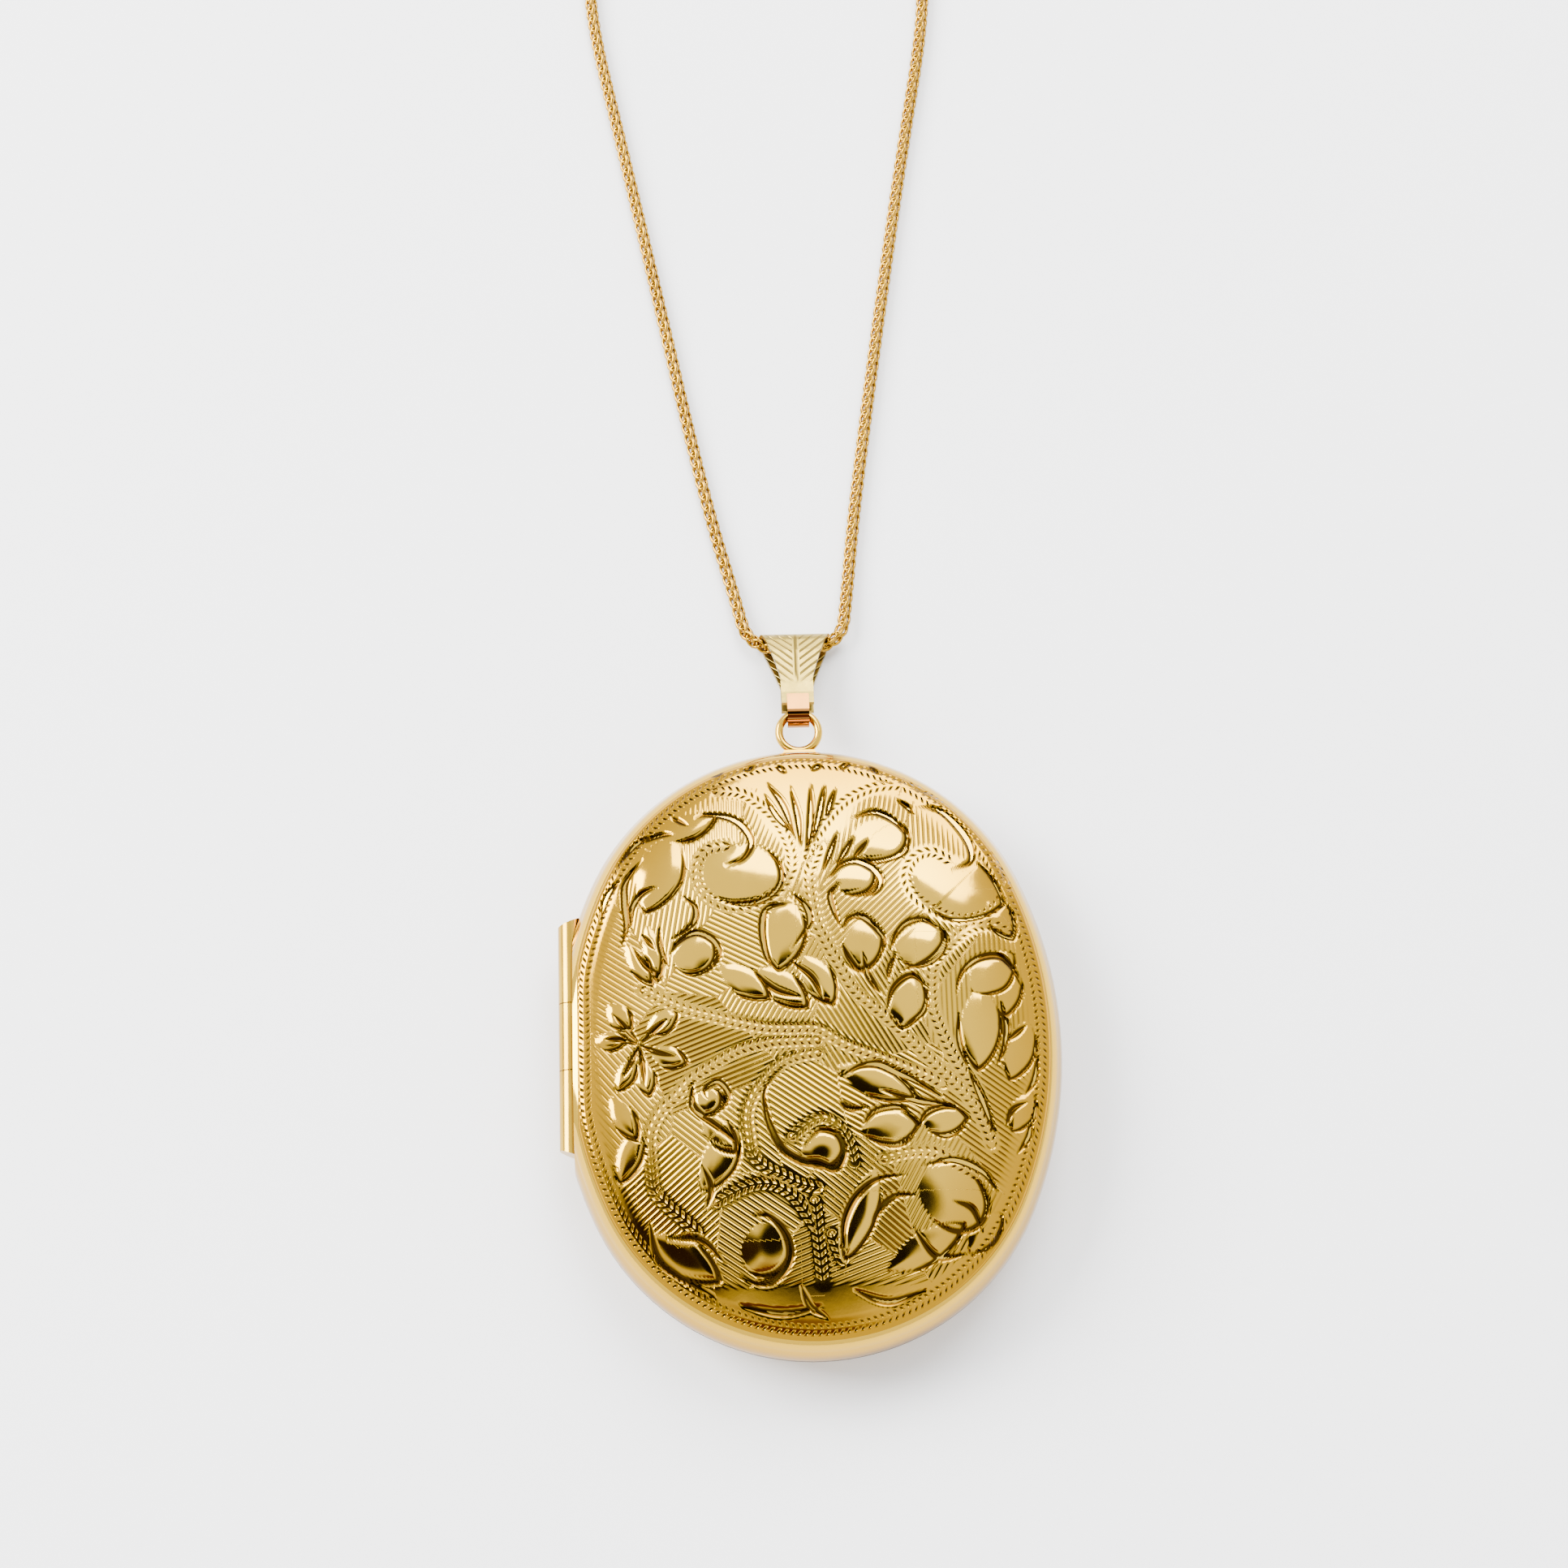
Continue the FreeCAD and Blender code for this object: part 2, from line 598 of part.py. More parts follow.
def make_clasp_loop():
    """The small fixed eye on the clasp's ring."""
    centre = on_clasp(loop_angle, clasp_radius + clasp_tube + loop_radius)
    return Part.makeTorus(loop_radius, loop_wire, centre, Z_AXIS).cut(
        clasp_arc(clasp_tube, clasp_open_to, clasp_open_from + 360))


def end_ring(hook, angle, hooked_wire):
    """A jump ring that stands on edge round a wire, reaching out from the clasp at an angle."""
    turn = math.radians(angle)
    outward = V(math.cos(turn), math.sin(turn), 0)
    centre = hook + outward * (end_ring_radius - end_ring_wire - hooked_wire - end_ring_play)
    return Part.makeTorus(end_ring_radius, end_ring_wire, centre, outward.cross(Z_AXIS))


def make_end_ring_left():
    return end_ring(on_clasp(left_hook_angle), left_hook_angle, clasp_tube)


def make_end_ring_right():
    hook = on_clasp(loop_angle, clasp_radius + clasp_tube + 2 * loop_radius)
    return end_ring(hook, loop_angle, loop_wire)


def save(name, shape):
    solids = shape.Solids
    print(name, "solids", len(solids), "valid", shape.isValid(), "volume", round(shape.Volume, 3))
    shape = solids[0] if len(solids) == 1 else shape
    shape.exportStep(os.path.join("parts", name + ".step"))


def build():
    os.makedirs("parts", exist_ok=True)
    save("back_cover", make_back_cover())
    save("back_rim", make_back_rim())
    save("back_picture_frame", picture_frame(back_seam, -1))
    save("back_window", behind_frame(back_seam, -1, 0, window_thickness))
    save("back_picture_card", behind_frame(back_seam, -1, window_thickness, card_thickness))
    save("front_cover", make_front_cover())
    save("front_rim", make_front_rim())
    save("front_picture_frame", picture_frame(front_seam, 1))
    save("front_window", behind_frame(front_seam, 1, 0, window_thickness))
    save("front_picture_card", behind_frame(front_seam, 1, window_thickness, card_thickness))
    save("hinge_knuckle_upper", make_outer_knuckle(1))
    save("hinge_knuckle_lower", make_outer_knuckle(-1))
    save("hinge_knuckle_middle", make_middle_knuckle())
    save("hinge_pin", make_hinge_pin())
    save("hanging_ring", make_hanging_ring())
    save("ring_foot", make_ring_foot())
    save("bail", make_bail())
    save("bail_strap", make_bail_strap())
    save("chain_left", cord_tube(left_route, chain_diameter))
    save("chain_right", cord_tube(right_route, chain_diameter))
    save("chain_tail_left", cord_tube(left_tail, chain_diameter))
    save("chain_tail_right", cord_tube(right_tail, chain_diameter))
    save("chain_coil", make_chain_coil())
    save("coil_tie", make_coil_tie())
    save("clasp_body", make_clasp_body())
    save("clasp_bolt", make_clasp_bolt())
    save("clasp_spring", make_clasp_spring())
    save("clasp_loop", make_clasp_loop())
    save("end_ring_left", make_end_ring_left())
    save("end_ring_right", make_end_ring_right())


build()
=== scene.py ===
"""Looks of an oval engraved picture locket on its neck chain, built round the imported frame."""
import math
import bpy
import numpy as np
from mathutils import Matrix, Vector


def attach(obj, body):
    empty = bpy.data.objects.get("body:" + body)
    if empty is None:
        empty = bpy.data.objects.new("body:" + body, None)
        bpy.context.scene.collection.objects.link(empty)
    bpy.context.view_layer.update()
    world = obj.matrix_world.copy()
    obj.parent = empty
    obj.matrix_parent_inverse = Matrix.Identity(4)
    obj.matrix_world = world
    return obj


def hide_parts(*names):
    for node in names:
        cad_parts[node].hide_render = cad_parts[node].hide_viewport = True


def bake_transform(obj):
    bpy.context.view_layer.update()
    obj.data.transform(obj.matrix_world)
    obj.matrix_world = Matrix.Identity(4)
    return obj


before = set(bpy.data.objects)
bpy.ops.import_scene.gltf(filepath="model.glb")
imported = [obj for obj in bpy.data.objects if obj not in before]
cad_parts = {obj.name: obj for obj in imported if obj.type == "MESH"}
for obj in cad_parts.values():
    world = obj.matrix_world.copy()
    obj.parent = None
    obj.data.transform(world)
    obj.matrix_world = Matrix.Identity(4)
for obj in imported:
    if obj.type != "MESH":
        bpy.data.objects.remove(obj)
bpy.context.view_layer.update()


# ---- Viewpoint ---------------------------------------------------------------------------------
# A short telephoto lens looks down at the table from the locket's lower end, a little to its left,
# with the camera rolled slightly against the locket's long axis.

view_target = Vector((-0.00110, 0.02115, 0.0))
view_elevation = math.radians(72.3)
view_azimuth = math.radians(-5.2)
view_roll = math.radians(3.7)
view_distance = 0.2413
view_lens = 74.5

toward_camera = Vector((math.sin(view_azimuth) * math.cos(view_elevation),
                        -math.cos(view_azimuth) * math.cos(view_elevation),
                        math.sin(view_elevation)))
level_right = Vector((math.cos(view_azimuth), math.sin(view_azimuth), 0.0))
level_up = toward_camera.cross(level_right)
camera_right = math.cos(view_roll) * level_right + math.sin(view_roll) * level_up
camera_up = toward_camera.cross(camera_right)
camera_data = bpy.data.cameras.new("table_camera")
camera_data.lens = view_lens
camera_data.sensor_width = 36.0
camera_data.clip_start = 0.01
camera_object = bpy.data.objects.new("table_camera", camera_data)
bpy.context.scene.collection.objects.link(camera_object)
turned = Matrix((camera_right, camera_up, toward_camera)).transposed().to_4x4()
camera_object.matrix_world = Matrix.Translation(view_target + toward_camera * view_distance) @ turned
bpy.context.scene.camera = camera_object


# ---- Neck chain --------------------------------------------------------------------------------
# A fine foxtail chain of gold wire: two families of small saddle-shaped rings, each threaded through
# its neighbours a quarter turn round. It runs through the bail, and the spare length is wound up.

MM = 0.001
chain_width = 1.05
link_pitch = 0.92
link_wire = 0.135            # radius of the wire
link_reach = 0.70            # half the length of a ring, as a share of the pitch
link_saddle = 0.13
ring_points, wire_points = 14, 5
tangent_reach = 2e-4
coil_centre = np.array([-1.5, 102.5])
coil_turn_pitch = 1.1
coil_first_radius = 8.32
coil_step = 24
lower_layer, upper_layer = 0.645, 1.695


def coil_turns(start_angle, sweep, height):
    """A flat spiral: the angle grows evenly and the radius shrinks by one pitch in each full turn."""
    steps = int(abs(sweep) / coil_step)
    turn = np.linspace(0.0, sweep, steps + 1)[1:]
    angle = np.radians(start_angle + turn)
    radius = coil_first_radius - coil_turn_pitch * np.abs(turn) / 360.0
    return [(coil_centre[0] + r * math.cos(a), coil_centre[1] + r * math.sin(a), height)
            for r, a in zip(radius, angle)]


left_route = [(0, 31.25, 1.15), (-3.4, 31.3, 1.13), (-4.45, 36.0, 0.62), (-5.9, 41.5, 0.53),
              (-7.6, 49.5, 0.53), (-9.6, 60.0, 0.53), (-12.25, 73.5, 0.53), (-14.9, 86.5, 0.53),
              (-14.6, 93.0, 0.53), (-10.9, 97.4, 0.6), (-9.8, 102.0, 0.65)]
left_route += coil_turns(180.0, -1440.0, lower_layer)
left_route += [(-4.8, 103.4, 1.1), (-3.2, 104.0, 1.8), (-1.0, 103.4, 2.75)]
right_route = [(0, 31.25, 1.15), (3.45, 31.35, 1.13), (4.1, 36.2, 0.62), (4.7, 41.5, 0.53),
               (5.8, 49.0, 0.53), (7.7, 61.0, 0.53), (9.8, 73.5, 0.53), (12.1, 86.0, 0.53),
               (11.9, 92.0, 0.6), (8.0, 97.0, 1.2), (6.8, 102.0, 1.68)]
right_route += coil_turns(0.0, 1272.0, upper_layer)
right_route += [(-4.5, 100.3, 1.9), (-3.6, 99.6, 2.5), (-2.2, 99.35, 2.8)]


def spline_line(name, route):
    """The points of a smooth NURBS line whose control points are the route, given in millimetres."""
    curve = bpy.data.curves.new(name, "CURVE")
    curve.dimensions = "3D"
    curve.resolution_u = 10
    spline = curve.splines.new("NURBS")
    spline.points.add(len(route) - 1)
    flat = np.array([(x * MM, y * MM, z * MM, 1.0) for x, y, z in route]).ravel()
    spline.points.foreach_set("co", flat)
    spline.order_u = 3
    spline.use_endpoint_u = True
    carrier = bpy.data.objects.new(name, curve)
    bpy.context.scene.collection.objects.link(carrier)
    bpy.context.view_layer.update()
    line = bpy.data.meshes.new_from_object(carrier.evaluated_get(bpy.context.evaluated_depsgraph_get()))
    points = np.empty(len(line.vertices) * 3)
    line.vertices.foreach_get("co", points)
    bpy.data.objects.remove(carrier)
    return points.reshape(-1, 3)


def along_line(points, places):
    """Position and unit tangent at given distances along a line, by interpolating between its points."""
    steps = np.linalg.norm(np.diff(points, axis=0), axis=1)
    reach = np.concatenate([[0.0], np.cumsum(steps)])
    here = np.stack([np.interp(places, reach, points[:, k]) for k in range(3)], axis=1)
    ahead = np.stack([np.interp(places + tangent_reach, reach, points[:, k]) for k in range(3)], axis=1)
    behind = np.stack([np.interp(places - tangent_reach, reach, points[:, k]) for k in range(3)], axis=1)
    tangent = ahead - behind
    return here, tangent / np.linalg.norm(tangent, axis=1, keepdims=True)


def line_length(points):
    return float(np.linalg.norm(np.diff(points, axis=0), axis=1).sum())


def unit(vectors):
    return vectors / np.maximum(np.linalg.norm(vectors, axis=-1, keepdims=True), 1e-12)


def grid_faces(rows, columns, wrap_rows, wrap_columns, flip=False):
    """Quads of a grid of rows by columns, each way either open or closed on itself."""
    r = np.arange(rows if wrap_rows else rows - 1)
    c = np.arange(columns if wrap_columns else columns - 1)
    r, c = np.meshgrid(r, c, indexing="ij")
    r_next, c_next = (r + 1) % rows, (c + 1) % columns
    quads = np.stack([r * columns + c, r * columns + c_next, r_next * columns + c_next,
                      r_next * columns + c], axis=-1).reshape(-1, 4)
    return quads[:, ::-1] if flip else quads


def mesh_piece(name, points, faces, smooth=True):
    """A new object from arrays of points, in metres, and of quads or triangles."""
    mesh = bpy.data.meshes.new(name)
    faces = np.asarray(faces)
    sides = faces.shape[1]
    mesh.vertices.add(len(points))
    mesh.vertices.foreach_set("co", np.asarray(points, dtype=np.float32).ravel())
    mesh.loops.add(faces.size)
    mesh.loops.foreach_set("vertex_index", faces.astype(np.int32).ravel())
    mesh.polygons.add(len(faces))
    mesh.polygons.foreach_set("loop_start", np.arange(0, faces.size, sides, dtype=np.int32))
    mesh.update(calc_edges=True)
    mesh.validate()
    mesh.polygons.foreach_set("use_smooth", np.full(len(mesh.polygons), smooth))
    piece = bpy.data.objects.new(name, mesh)
    bpy.context.scene.collection.objects.link(piece)
    return piece


def chain_links(name, points):
    """Rings along a line. Round a ring the place along the chain goes as the cosine, the place across
    it as the sine, and the third direction as the cosine of twice the angle, which gives a saddle."""
    length = line_length(points)
    count = int(length / (link_pitch * MM))
    places = (np.arange(2 * count - 1) * 0.5 + 0.5) * length / count
    here, tangent = along_line(points, places)
    across = unit(np.cross(np.array([0.0, 0.0, 1.0]), tangent))
    above = np.cross(tangent, across)
    odd = (np.arange(len(places)) % 2 == 1)[:, None]
    side = np.where(odd, above, across)
    lift = np.where(odd, across, above)
    round_ring = np.linspace(0, 2 * np.pi, ring_points, endpoint=False)
    half_long, half_wide = link_reach * link_pitch * MM, (chain_width / 2 - link_wire) * MM
    saddle = link_saddle * MM
    centre = (here[:, None] + half_long * np.cos(round_ring)[None, :, None] * tangent[:, None]
              + half_wide * np.sin(round_ring)[None, :, None] * side[:, None]
              + saddle * np.cos(2 * round_ring)[None, :, None] * lift[:, None])
    run = unit(np.roll(centre, -1, axis=1) - np.roll(centre, 1, axis=1))
    outward = unit(centre - here[:, None])
    outward = unit(outward - (outward * run).sum(-1, keepdims=True) * run)
    binormal = np.cross(run, outward)
    section = np.linspace(0, 2 * np.pi, wire_points, endpoint=False)
    wire = link_wire * MM
    skin = (centre[:, :, None] + wire * np.cos(section)[None, None, :, None] * outward[:, :, None]
            + wire * np.sin(section)[None, None, :, None] * binormal[:, :, None])
    quads = grid_faces(ring_points, wire_points, True, True)
    offsets = (np.arange(len(places)) * ring_points * wire_points)[:, None, None]
    return mesh_piece(name, skin.reshape(-1, 3), (quads[None] + offsets).reshape(-1, 4))


class Knob:
    """A shader socket that Python operators turn into Math nodes."""

    def __init__(self, nodes, socket):
        self.nodes, self.socket = nodes, socket

    def _math(self, operation, *values):
        return self.nodes.add("ShaderNodeMath", {"operation": operation}, dict(enumerate(values)))

    def __add__(self, other):
        return self._math("ADD", self, other)

    def __radd__(self, other):
        return self._math("ADD", other, self)

    def __sub__(self, other):
        return self._math("SUBTRACT", self, other)

    def __rsub__(self, other):
        return self._math("SUBTRACT", other, self)

    def __mul__(self, other):
        return self._math("MULTIPLY", self, other)

    def __rmul__(self, other):
        return self._math("MULTIPLY", other, self)

    def __gt__(self, other):
        return self._math("GREATER_THAN", self, other)

    def wave(self):
        return self._math("SINE", self)

    def power(self, exponent):
        return self._math("POWER", self, exponent)

    def clamp(self):
        return self.nodes.add("ShaderNodeClamp", {}, {"Value": self})


class Finish:
    """One material: makes its nodes and holds its Principled shader."""

    def __init__(self, name, **constants):
        self.material = bpy.data.materials.new(name)
        self.material.use_nodes = True
        self.tree = self.material.node_tree
        self.shader = self.tree.nodes["Principled BSDF"]
        for socket, value in constants.items():
            self.shader.inputs[socket.replace("_", " ")].default_value = value

    def add(self, kind, settings, inputs, output=0):
        node = self.tree.nodes.new(kind)
        for key, value in settings.items():
            if key == "stops":
                ramp = node.color_ramp
                for index, (place, colour) in enumerate(value):
                    stop = ramp.elements[index] if index < 2 else ramp.elements.new(place)
                    stop.position, stop.color = place, colour
            else:
                setattr(node, key, value)
        for key, value in inputs.items():
            socket = node.inputs[key]
            if isinstance(value, Knob):
                self.tree.links.new(value.socket, socket)
            else:
                socket.default_value = value
        return Knob(self, node.outputs[output])

    def place(self):
        return self.add("ShaderNodeTexCoord", {}, {}, "Object")

    def parts(self):
        """The X, Y and Z of the object's own coordinates, in millimetres."""
        scaled = self.add("ShaderNodeVectorMath", {"operation": "SCALE"}, {0: self.place(), "Scale": 1000.0})
        node = self.tree.nodes.new("ShaderNodeSeparateXYZ")
        self.tree.links.new(scaled.socket, node.inputs[0])
        return [Knob(self, output) for output in node.outputs]

    def noise(self, scale, detail=3.0, vector=None):
        return self.add("ShaderNodeTexNoise", {}, {"Vector": vector or self.place(), "Scale": scale,
                                                   "Detail": detail})

    def attribute(self, name):
        return self.add("ShaderNodeAttribute", {"attribute_name": name}, {}, "Fac")

    def blend(self, factor, first, second):
        return self.add("ShaderNodeMix", {"data_type": "RGBA"}, {0: factor, 6: first, 7: second}, 2)

    def bump(self, height, distance, strength=1.0):
        return self.add("ShaderNodeBump", {}, {"Height": height, "Distance": distance,
                                               "Strength": strength})

    def feed(self, **links):
        for socket, knob in links.items():
            self.tree.links.new(knob.socket, self.shader.inputs[socket.replace("_", " ")])
        return self.material


def gold(name, pale, deep, rough, grain=900.0, scratch=0.15):
    """Worn polished gold: two close golds clouded together, fine handling marks in the roughness."""
    finish = Finish(name, Metallic=1.0)
    cloud = finish.noise(160.0)
    marks = finish.noise(grain, 5.0)
    finish.feed(Base_Color=finish.blend(cloud, pale, deep),
                Roughness=((marks - 0.5) * scratch + rough).clamp(),
                Normal=finish.bump(marks, 0.00001, 0.25))
    return finish


chain_gold = gold("chain_gold", (0.50, 0.28, 0.012, 1.0), (0.28, 0.13, 0.003, 1.0), 0.14).material
left_points = spline_line("left_line", left_route)
right_points = spline_line("right_line", right_route)
left_chain = chain_links("neck_chain_left", left_points)
right_chain = chain_links("neck_chain_right", right_points)
for strand in (left_chain, right_chain):
    strand.data.materials.append(chain_gold)
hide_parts("chain_left", "chain_tail_left", "chain_coil")
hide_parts("chain_right", "chain_tail_right")


for strand in (left_chain, right_chain):
    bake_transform(strand)


# ---- Front cover: stamped dome -----------------------------------------------------------------
# The front is stamped from thin gold sheet. Its steep polished wall and thumb nick are the frame's
# own shape; the engraved field is laid over the crown and carries the cut work.

pale_gold = (0.66, 0.41, 0.035, 1.0)
deep_gold = (0.38, 0.19, 0.002, 1.0)
# dark colour of the seam line and thumb nick: painted shade, and along the seam partly the joint's own dark
# line
seam_and_nick_shade_colour = (0.05, 0.025, 0.004, 1.0)
nick_middle, nick_half_length = 1.6, 2.0
nick_bottom, nick_top, nick_side = 4.08, 4.72, 17.2


def shell_gold(name, rough, seam_middle, seam_spread):
    """Polished gold made deeper towards the seam, down the steep wall, as painted darker reflection, with a
    dark line along the seam that is partly the joint and partly painted shade, and painted shade in the thumb
    nick."""
    finish = Finish(name, Metallic=1.0)
    marks = finish.noise(900.0, 5.0)
    x, y, z = finish.parts()
    # the thumb nick is a recess: its darkening here is painted shade
    from_nick = finish.add("ShaderNodeMath", {"operation": "ABSOLUTE"}, {0: y - nick_middle})
    nick = ((x > nick_side) * (z > nick_bottom) * ((nick_half_length - from_nick) * 6.0).clamp()
            * ((nick_top - z) * 12.0).clamp())
    # dark band round the seam, partly the joint and partly painted shade, with the nick's painted shade added
    away = finish.add("ShaderNodeMath", {"operation": "ABSOLUTE"}, {0: z - seam_middle})
    seam = (1.6 - away * (1.4 / seam_spread) + nick).clamp()
    # deeper gold towards the seam, down the steep wall: painted darker reflection
    tone = finish.blend((1.2 - away * 0.35).clamp(), pale_gold, deep_gold)
    finish.feed(Base_Color=finish.blend(seam * 0.9, tone, seam_and_nick_shade_colour),
                Roughness=((marks - 0.5) * 0.14 + rough + seam * 0.2).clamp(),
                Normal=finish.bump(marks, 0.00001, 0.25))
    return finish.material


front_gold = shell_gold("front_gold", 0.09, 4.05, 0.22)


def wear(node, material):
    """Put one material on a carried-over piece of the frame."""
    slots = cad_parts[node].data.materials
    slots.clear()
    slots.append(material)


wear("front_cover", front_gold)

half_width, half_length, end_radius = 18.0, 22.1, 16.9
parting, front_depth = 4.1, 4.7
crown_inset, crown_foot = 1.9, 3.05
wall_inset, wall_top = 0.4, 1.7
shoulder_mid_run, shoulder_mid_rise = 0.32, 0.62
end_centre = half_length - end_radius
side_centre = (end_centre ** 2 - (half_width - end_radius) ** 2) / (2 * (half_width - end_radius))
side_radius = half_width + side_centre
field_lift = 0.15
field_inset = 1.0
hinge_side_x = -16.4


def circle_through(a, b, c):
    """Centre and radius of the circle through three points in a plane."""
    (ax, ay), (bx, by), (cx, cy) = a, b, c
    d = 2 * (ax * (by - cy) + bx * (cy - ay) + cx * (ay - by))
    ux = ((ax**2 + ay**2) * (by - cy) + (bx**2 + by**2) * (cy - ay) + (cx**2 + cy**2) * (ay - by)) / d
    uy = ((ax**2 + ay**2) * (cx - bx) + (bx**2 + by**2) * (ax - cx) + (cx**2 + cy**2) * (bx - ax)) / d
    return ux, uy, math.hypot(ax - ux, ay - uy)


def inset_from_edge(x, y):
    """Distance in from the oval: to the end arc beyond the line that joins the arcs, else the side arc."""
    x, y = np.abs(x), np.abs(y)
    at_end = (y - end_centre) * side_centre > end_centre * x
    from_end = end_radius - np.hypot(x, y - end_centre)
    from_side = side_radius - np.hypot(x + side_centre, y)
    return np.where(at_end & (y > end_centre), from_end, from_side)


def cover_height(x, y):
    """Height of the front's outer surface: wide level-topped crown arc, then the tighter shoulder arc."""
    inset = inset_from_edge(x, y)
    run, rise = end_radius - crown_inset, front_depth - crown_foot
    radius = (run ** 2 + rise ** 2) / (2 * rise)
    crown = parting + front_depth - radius + np.sqrt(
        radius ** 2 - np.clip(end_radius - inset, 0, run) ** 2)
    lean = crown_inset - wall_inset
    middle = (wall_inset + shoulder_mid_run * lean,
              wall_top + shoulder_mid_rise * (crown_foot - wall_top))
    cx, cy, r = circle_through((wall_inset, wall_top), middle, (crown_inset, crown_foot))
    shoulder = parting + cy + np.sqrt(np.clip(r ** 2 - (np.clip(inset, wall_inset, crown_inset) - cx) ** 2,
                                              0, None))
    return np.where(inset >= crown_inset, crown, shoulder)


# ---- Front cover: engraved field ---------------------------------------------------------------
# Scrolls, leaves and fans are cut into the crown inside a border of small nicks. Wide bright cuts
# taper at both ends; nicked stems run between them and fine ruled lines fill the ground.

field_cells = 306
underside_height = 8.25
cut_width, cut_growth, growth_limit = 0.5, 0.03, 9
border_steps = 720
border_inset = 1.75
hinge_band, hinge_border = 1.6, 0.55


def smooth_stroke(points, steps=9):
    """Points on a curve through the points given: a cubic between each two, with chords as tangents."""
    p = np.array(points, float)
    if len(p) == 2:
        return p[0] + (p[1] - p[0]) * np.linspace(0, 1, steps)[:, None]
    tangent = np.gradient(p, axis=0)
    t = np.linspace(0, 1, steps, endpoint=False)[None, :, None]
    a, b, ta, tb = p[:-1, None], p[1:, None], tangent[:-1, None], tangent[1:, None]
    body = ((2 * t**3 - 3 * t**2 + 1) * a + (t**3 - 2 * t**2 + t) * ta
            + (3 * t**2 - 2 * t**3) * b + (t**3 - t**2) * tb)
    return np.concatenate([body.reshape(-1, 2), p[-1:]])


fan_blades = [[(-2.8, 18.0), (-1.9, 16.2), (-0.8, 14.9)], [(-0.9, 18.6), (-0.4, 16.0), (-0.3, 13.7)],
              [(0.6, 18.8), (0.5, 16.0), (0.1, 13.2)], [(2.4, 18.4), (1.9, 17.0), (1.6, 15.9)]]
left_leaf_cuts = [
    [(-11.6, 14.6), (-10.4, 15.1), (-9.3, 15.1)], [(-9.5, 16.5), (-8.3, 15.7)],
    [(-11.6, 13.3), (-12.8, 11.7), (-12.9, 10.2), (-12.8, 8.3), (-13.2, 6.8)],
    [(-10.5, 11.2), (-11.7, 10.7), (-12.4, 9.6), (-12.4, 8.1)],
    [(-8.8, 10.4), (-7.9, 9.5), (-8.1, 8.3), (-9.7, 7.1)],
    [(-12.4, 6.8), (-11.4, 5.3), (-10.1, 4.4)], [(-11.7, 7.7), (-10.8, 6.5)],
    [(-10.5, 8.2), (-10.4, 6.6), (-9.8, 5.1)],
    [(-9.8, 6.0), (-9.1, 7.0), (-7.8, 7.6), (-6.6, 6.9), (-6.3, 5.8), (-7.2, 4.5)]]
centre_leaf_cuts = [
    [(-1.0, 9.5), (-2.8, 9.2), (-3.2, 7.7), (-2.9, 5.6), (-2.2, 4.8)],
    [(-1.1, 10.3), (-0.1, 9.3), (0.1, 8.0), (-1.2, 6.1)],
    [(-3.9, 4.6), (-2.4, 3.2), (-0.6, 2.6)], [(-1.4, 5.4), (0.2, 4.0), (0.9, 2.4)]]
top_right_cuts = [
    [(8.2, 16.8), (9.8, 16.6), (11.2, 15.2), (11.9, 13.8), (11.8, 12.6), (10.4, 11.9)],
    [(3.3, 15.8), (5.0, 16.4), (6.5, 15.7), (7.4, 14.4)],
    [(7.4, 14.4), (7.1, 13.3), (5.2, 12.6), (3.5, 12.8)],
    [(6.7, 17.4), (7.5, 16.8), (8.0, 16.2)], [(2.4, 14.9), (1.2, 11.8)], [(3.6, 14.6), (2.1, 12.1)],
    [(4.6, 14.3), (3.3, 12.7)],
    [(1.4, 10.9), (2.4, 12.2), (3.6, 12.6), (4.8, 12.0), (5.3, 11.1), (4.8, 10.2), (3.4, 9.9)],
    [(2.5, 11.0), (1.7, 10.2), (1.9, 8.9), (2.4, 7.6)]]
leaf_pair_cuts = [
    [(2.4, 7.3), (2.9, 8.3), (3.9, 8.4), (4.9, 7.5), (5.4, 6.6), (5.1, 5.5)],
    [(2.4, 6.5), (2.9, 5.3), (3.9, 4.1)],
    [(5.7, 5.8), (6.3, 7.2), (7.1, 8.0), (8.3, 8.2), (9.4, 7.4)],
    [(9.4, 7.4), (9.5, 6.4), (8.5, 5.3), (6.5, 4.4)],
    [(3.8, 5.6), (4.2, 4.0), (5.0, 2.7)], [(6.2, 5.8), (5.7, 4.7), (5.5, 3.7)],
    [(5.3, 1.4), (5.9, 3.2), (7.2, 4.1), (8.3, 3.2)], [(8.3, 3.2), (7.9, 1.5), (6.5, 0.5)]]
right_leaf_cuts = [
    [(10.3, 2.7), (10.7, 4.2), (11.7, 5.2), (12.9, 5.6), (13.8, 5.4), (14.6, 4.4), (14.9, 3.5)],
    [(10.4, 1.4), (10.4, -0.6), (10.9, -2.6)], [(13.1, 1.8), (13.8, 0.7), (13.6, -0.9), (12.9, -2.5)],
    [(10.9, -2.6), (11.9, -5.0), (12.6, -7.2)], [(13.8, -0.6), (15.2, 0.6)],
    [(15.9, -1.6), (15.6, -3.3), (14.9, -4.4)], [(13.4, -6.7), (13.9, -5.5), (15.0, -4.9)],
    [(15.2, -6.1), (15.0, -7.3), (14.1, -8.6)]]
low_centre_cuts = [
    [(1.8, -3.2), (3.3, -2.4), (4.6, -2.3), (5.9, -2.9), (7.2, -3.5), (9.0, -4.6)],
    [(1.8, -4.8), (2.5, -5.4), (3.8, -5.3)], [(4.7, -4.1), (7.4, -4.9), (10.0, -5.2)],
    [(3.4, -6.6), (4.2, -5.6), (5.9, -5.3), (6.8, -5.9)],
    [(3.4, -7.3), (4.7, -7.8), (6.0, -7.9), (7.0, -7.2)],
    [(7.2, -6.9), (7.8, -5.8), (9.0, -5.3), (10.3, -5.5)], [(7.9, -7.0), (9.3, -7.3), (10.7, -6.6)]]
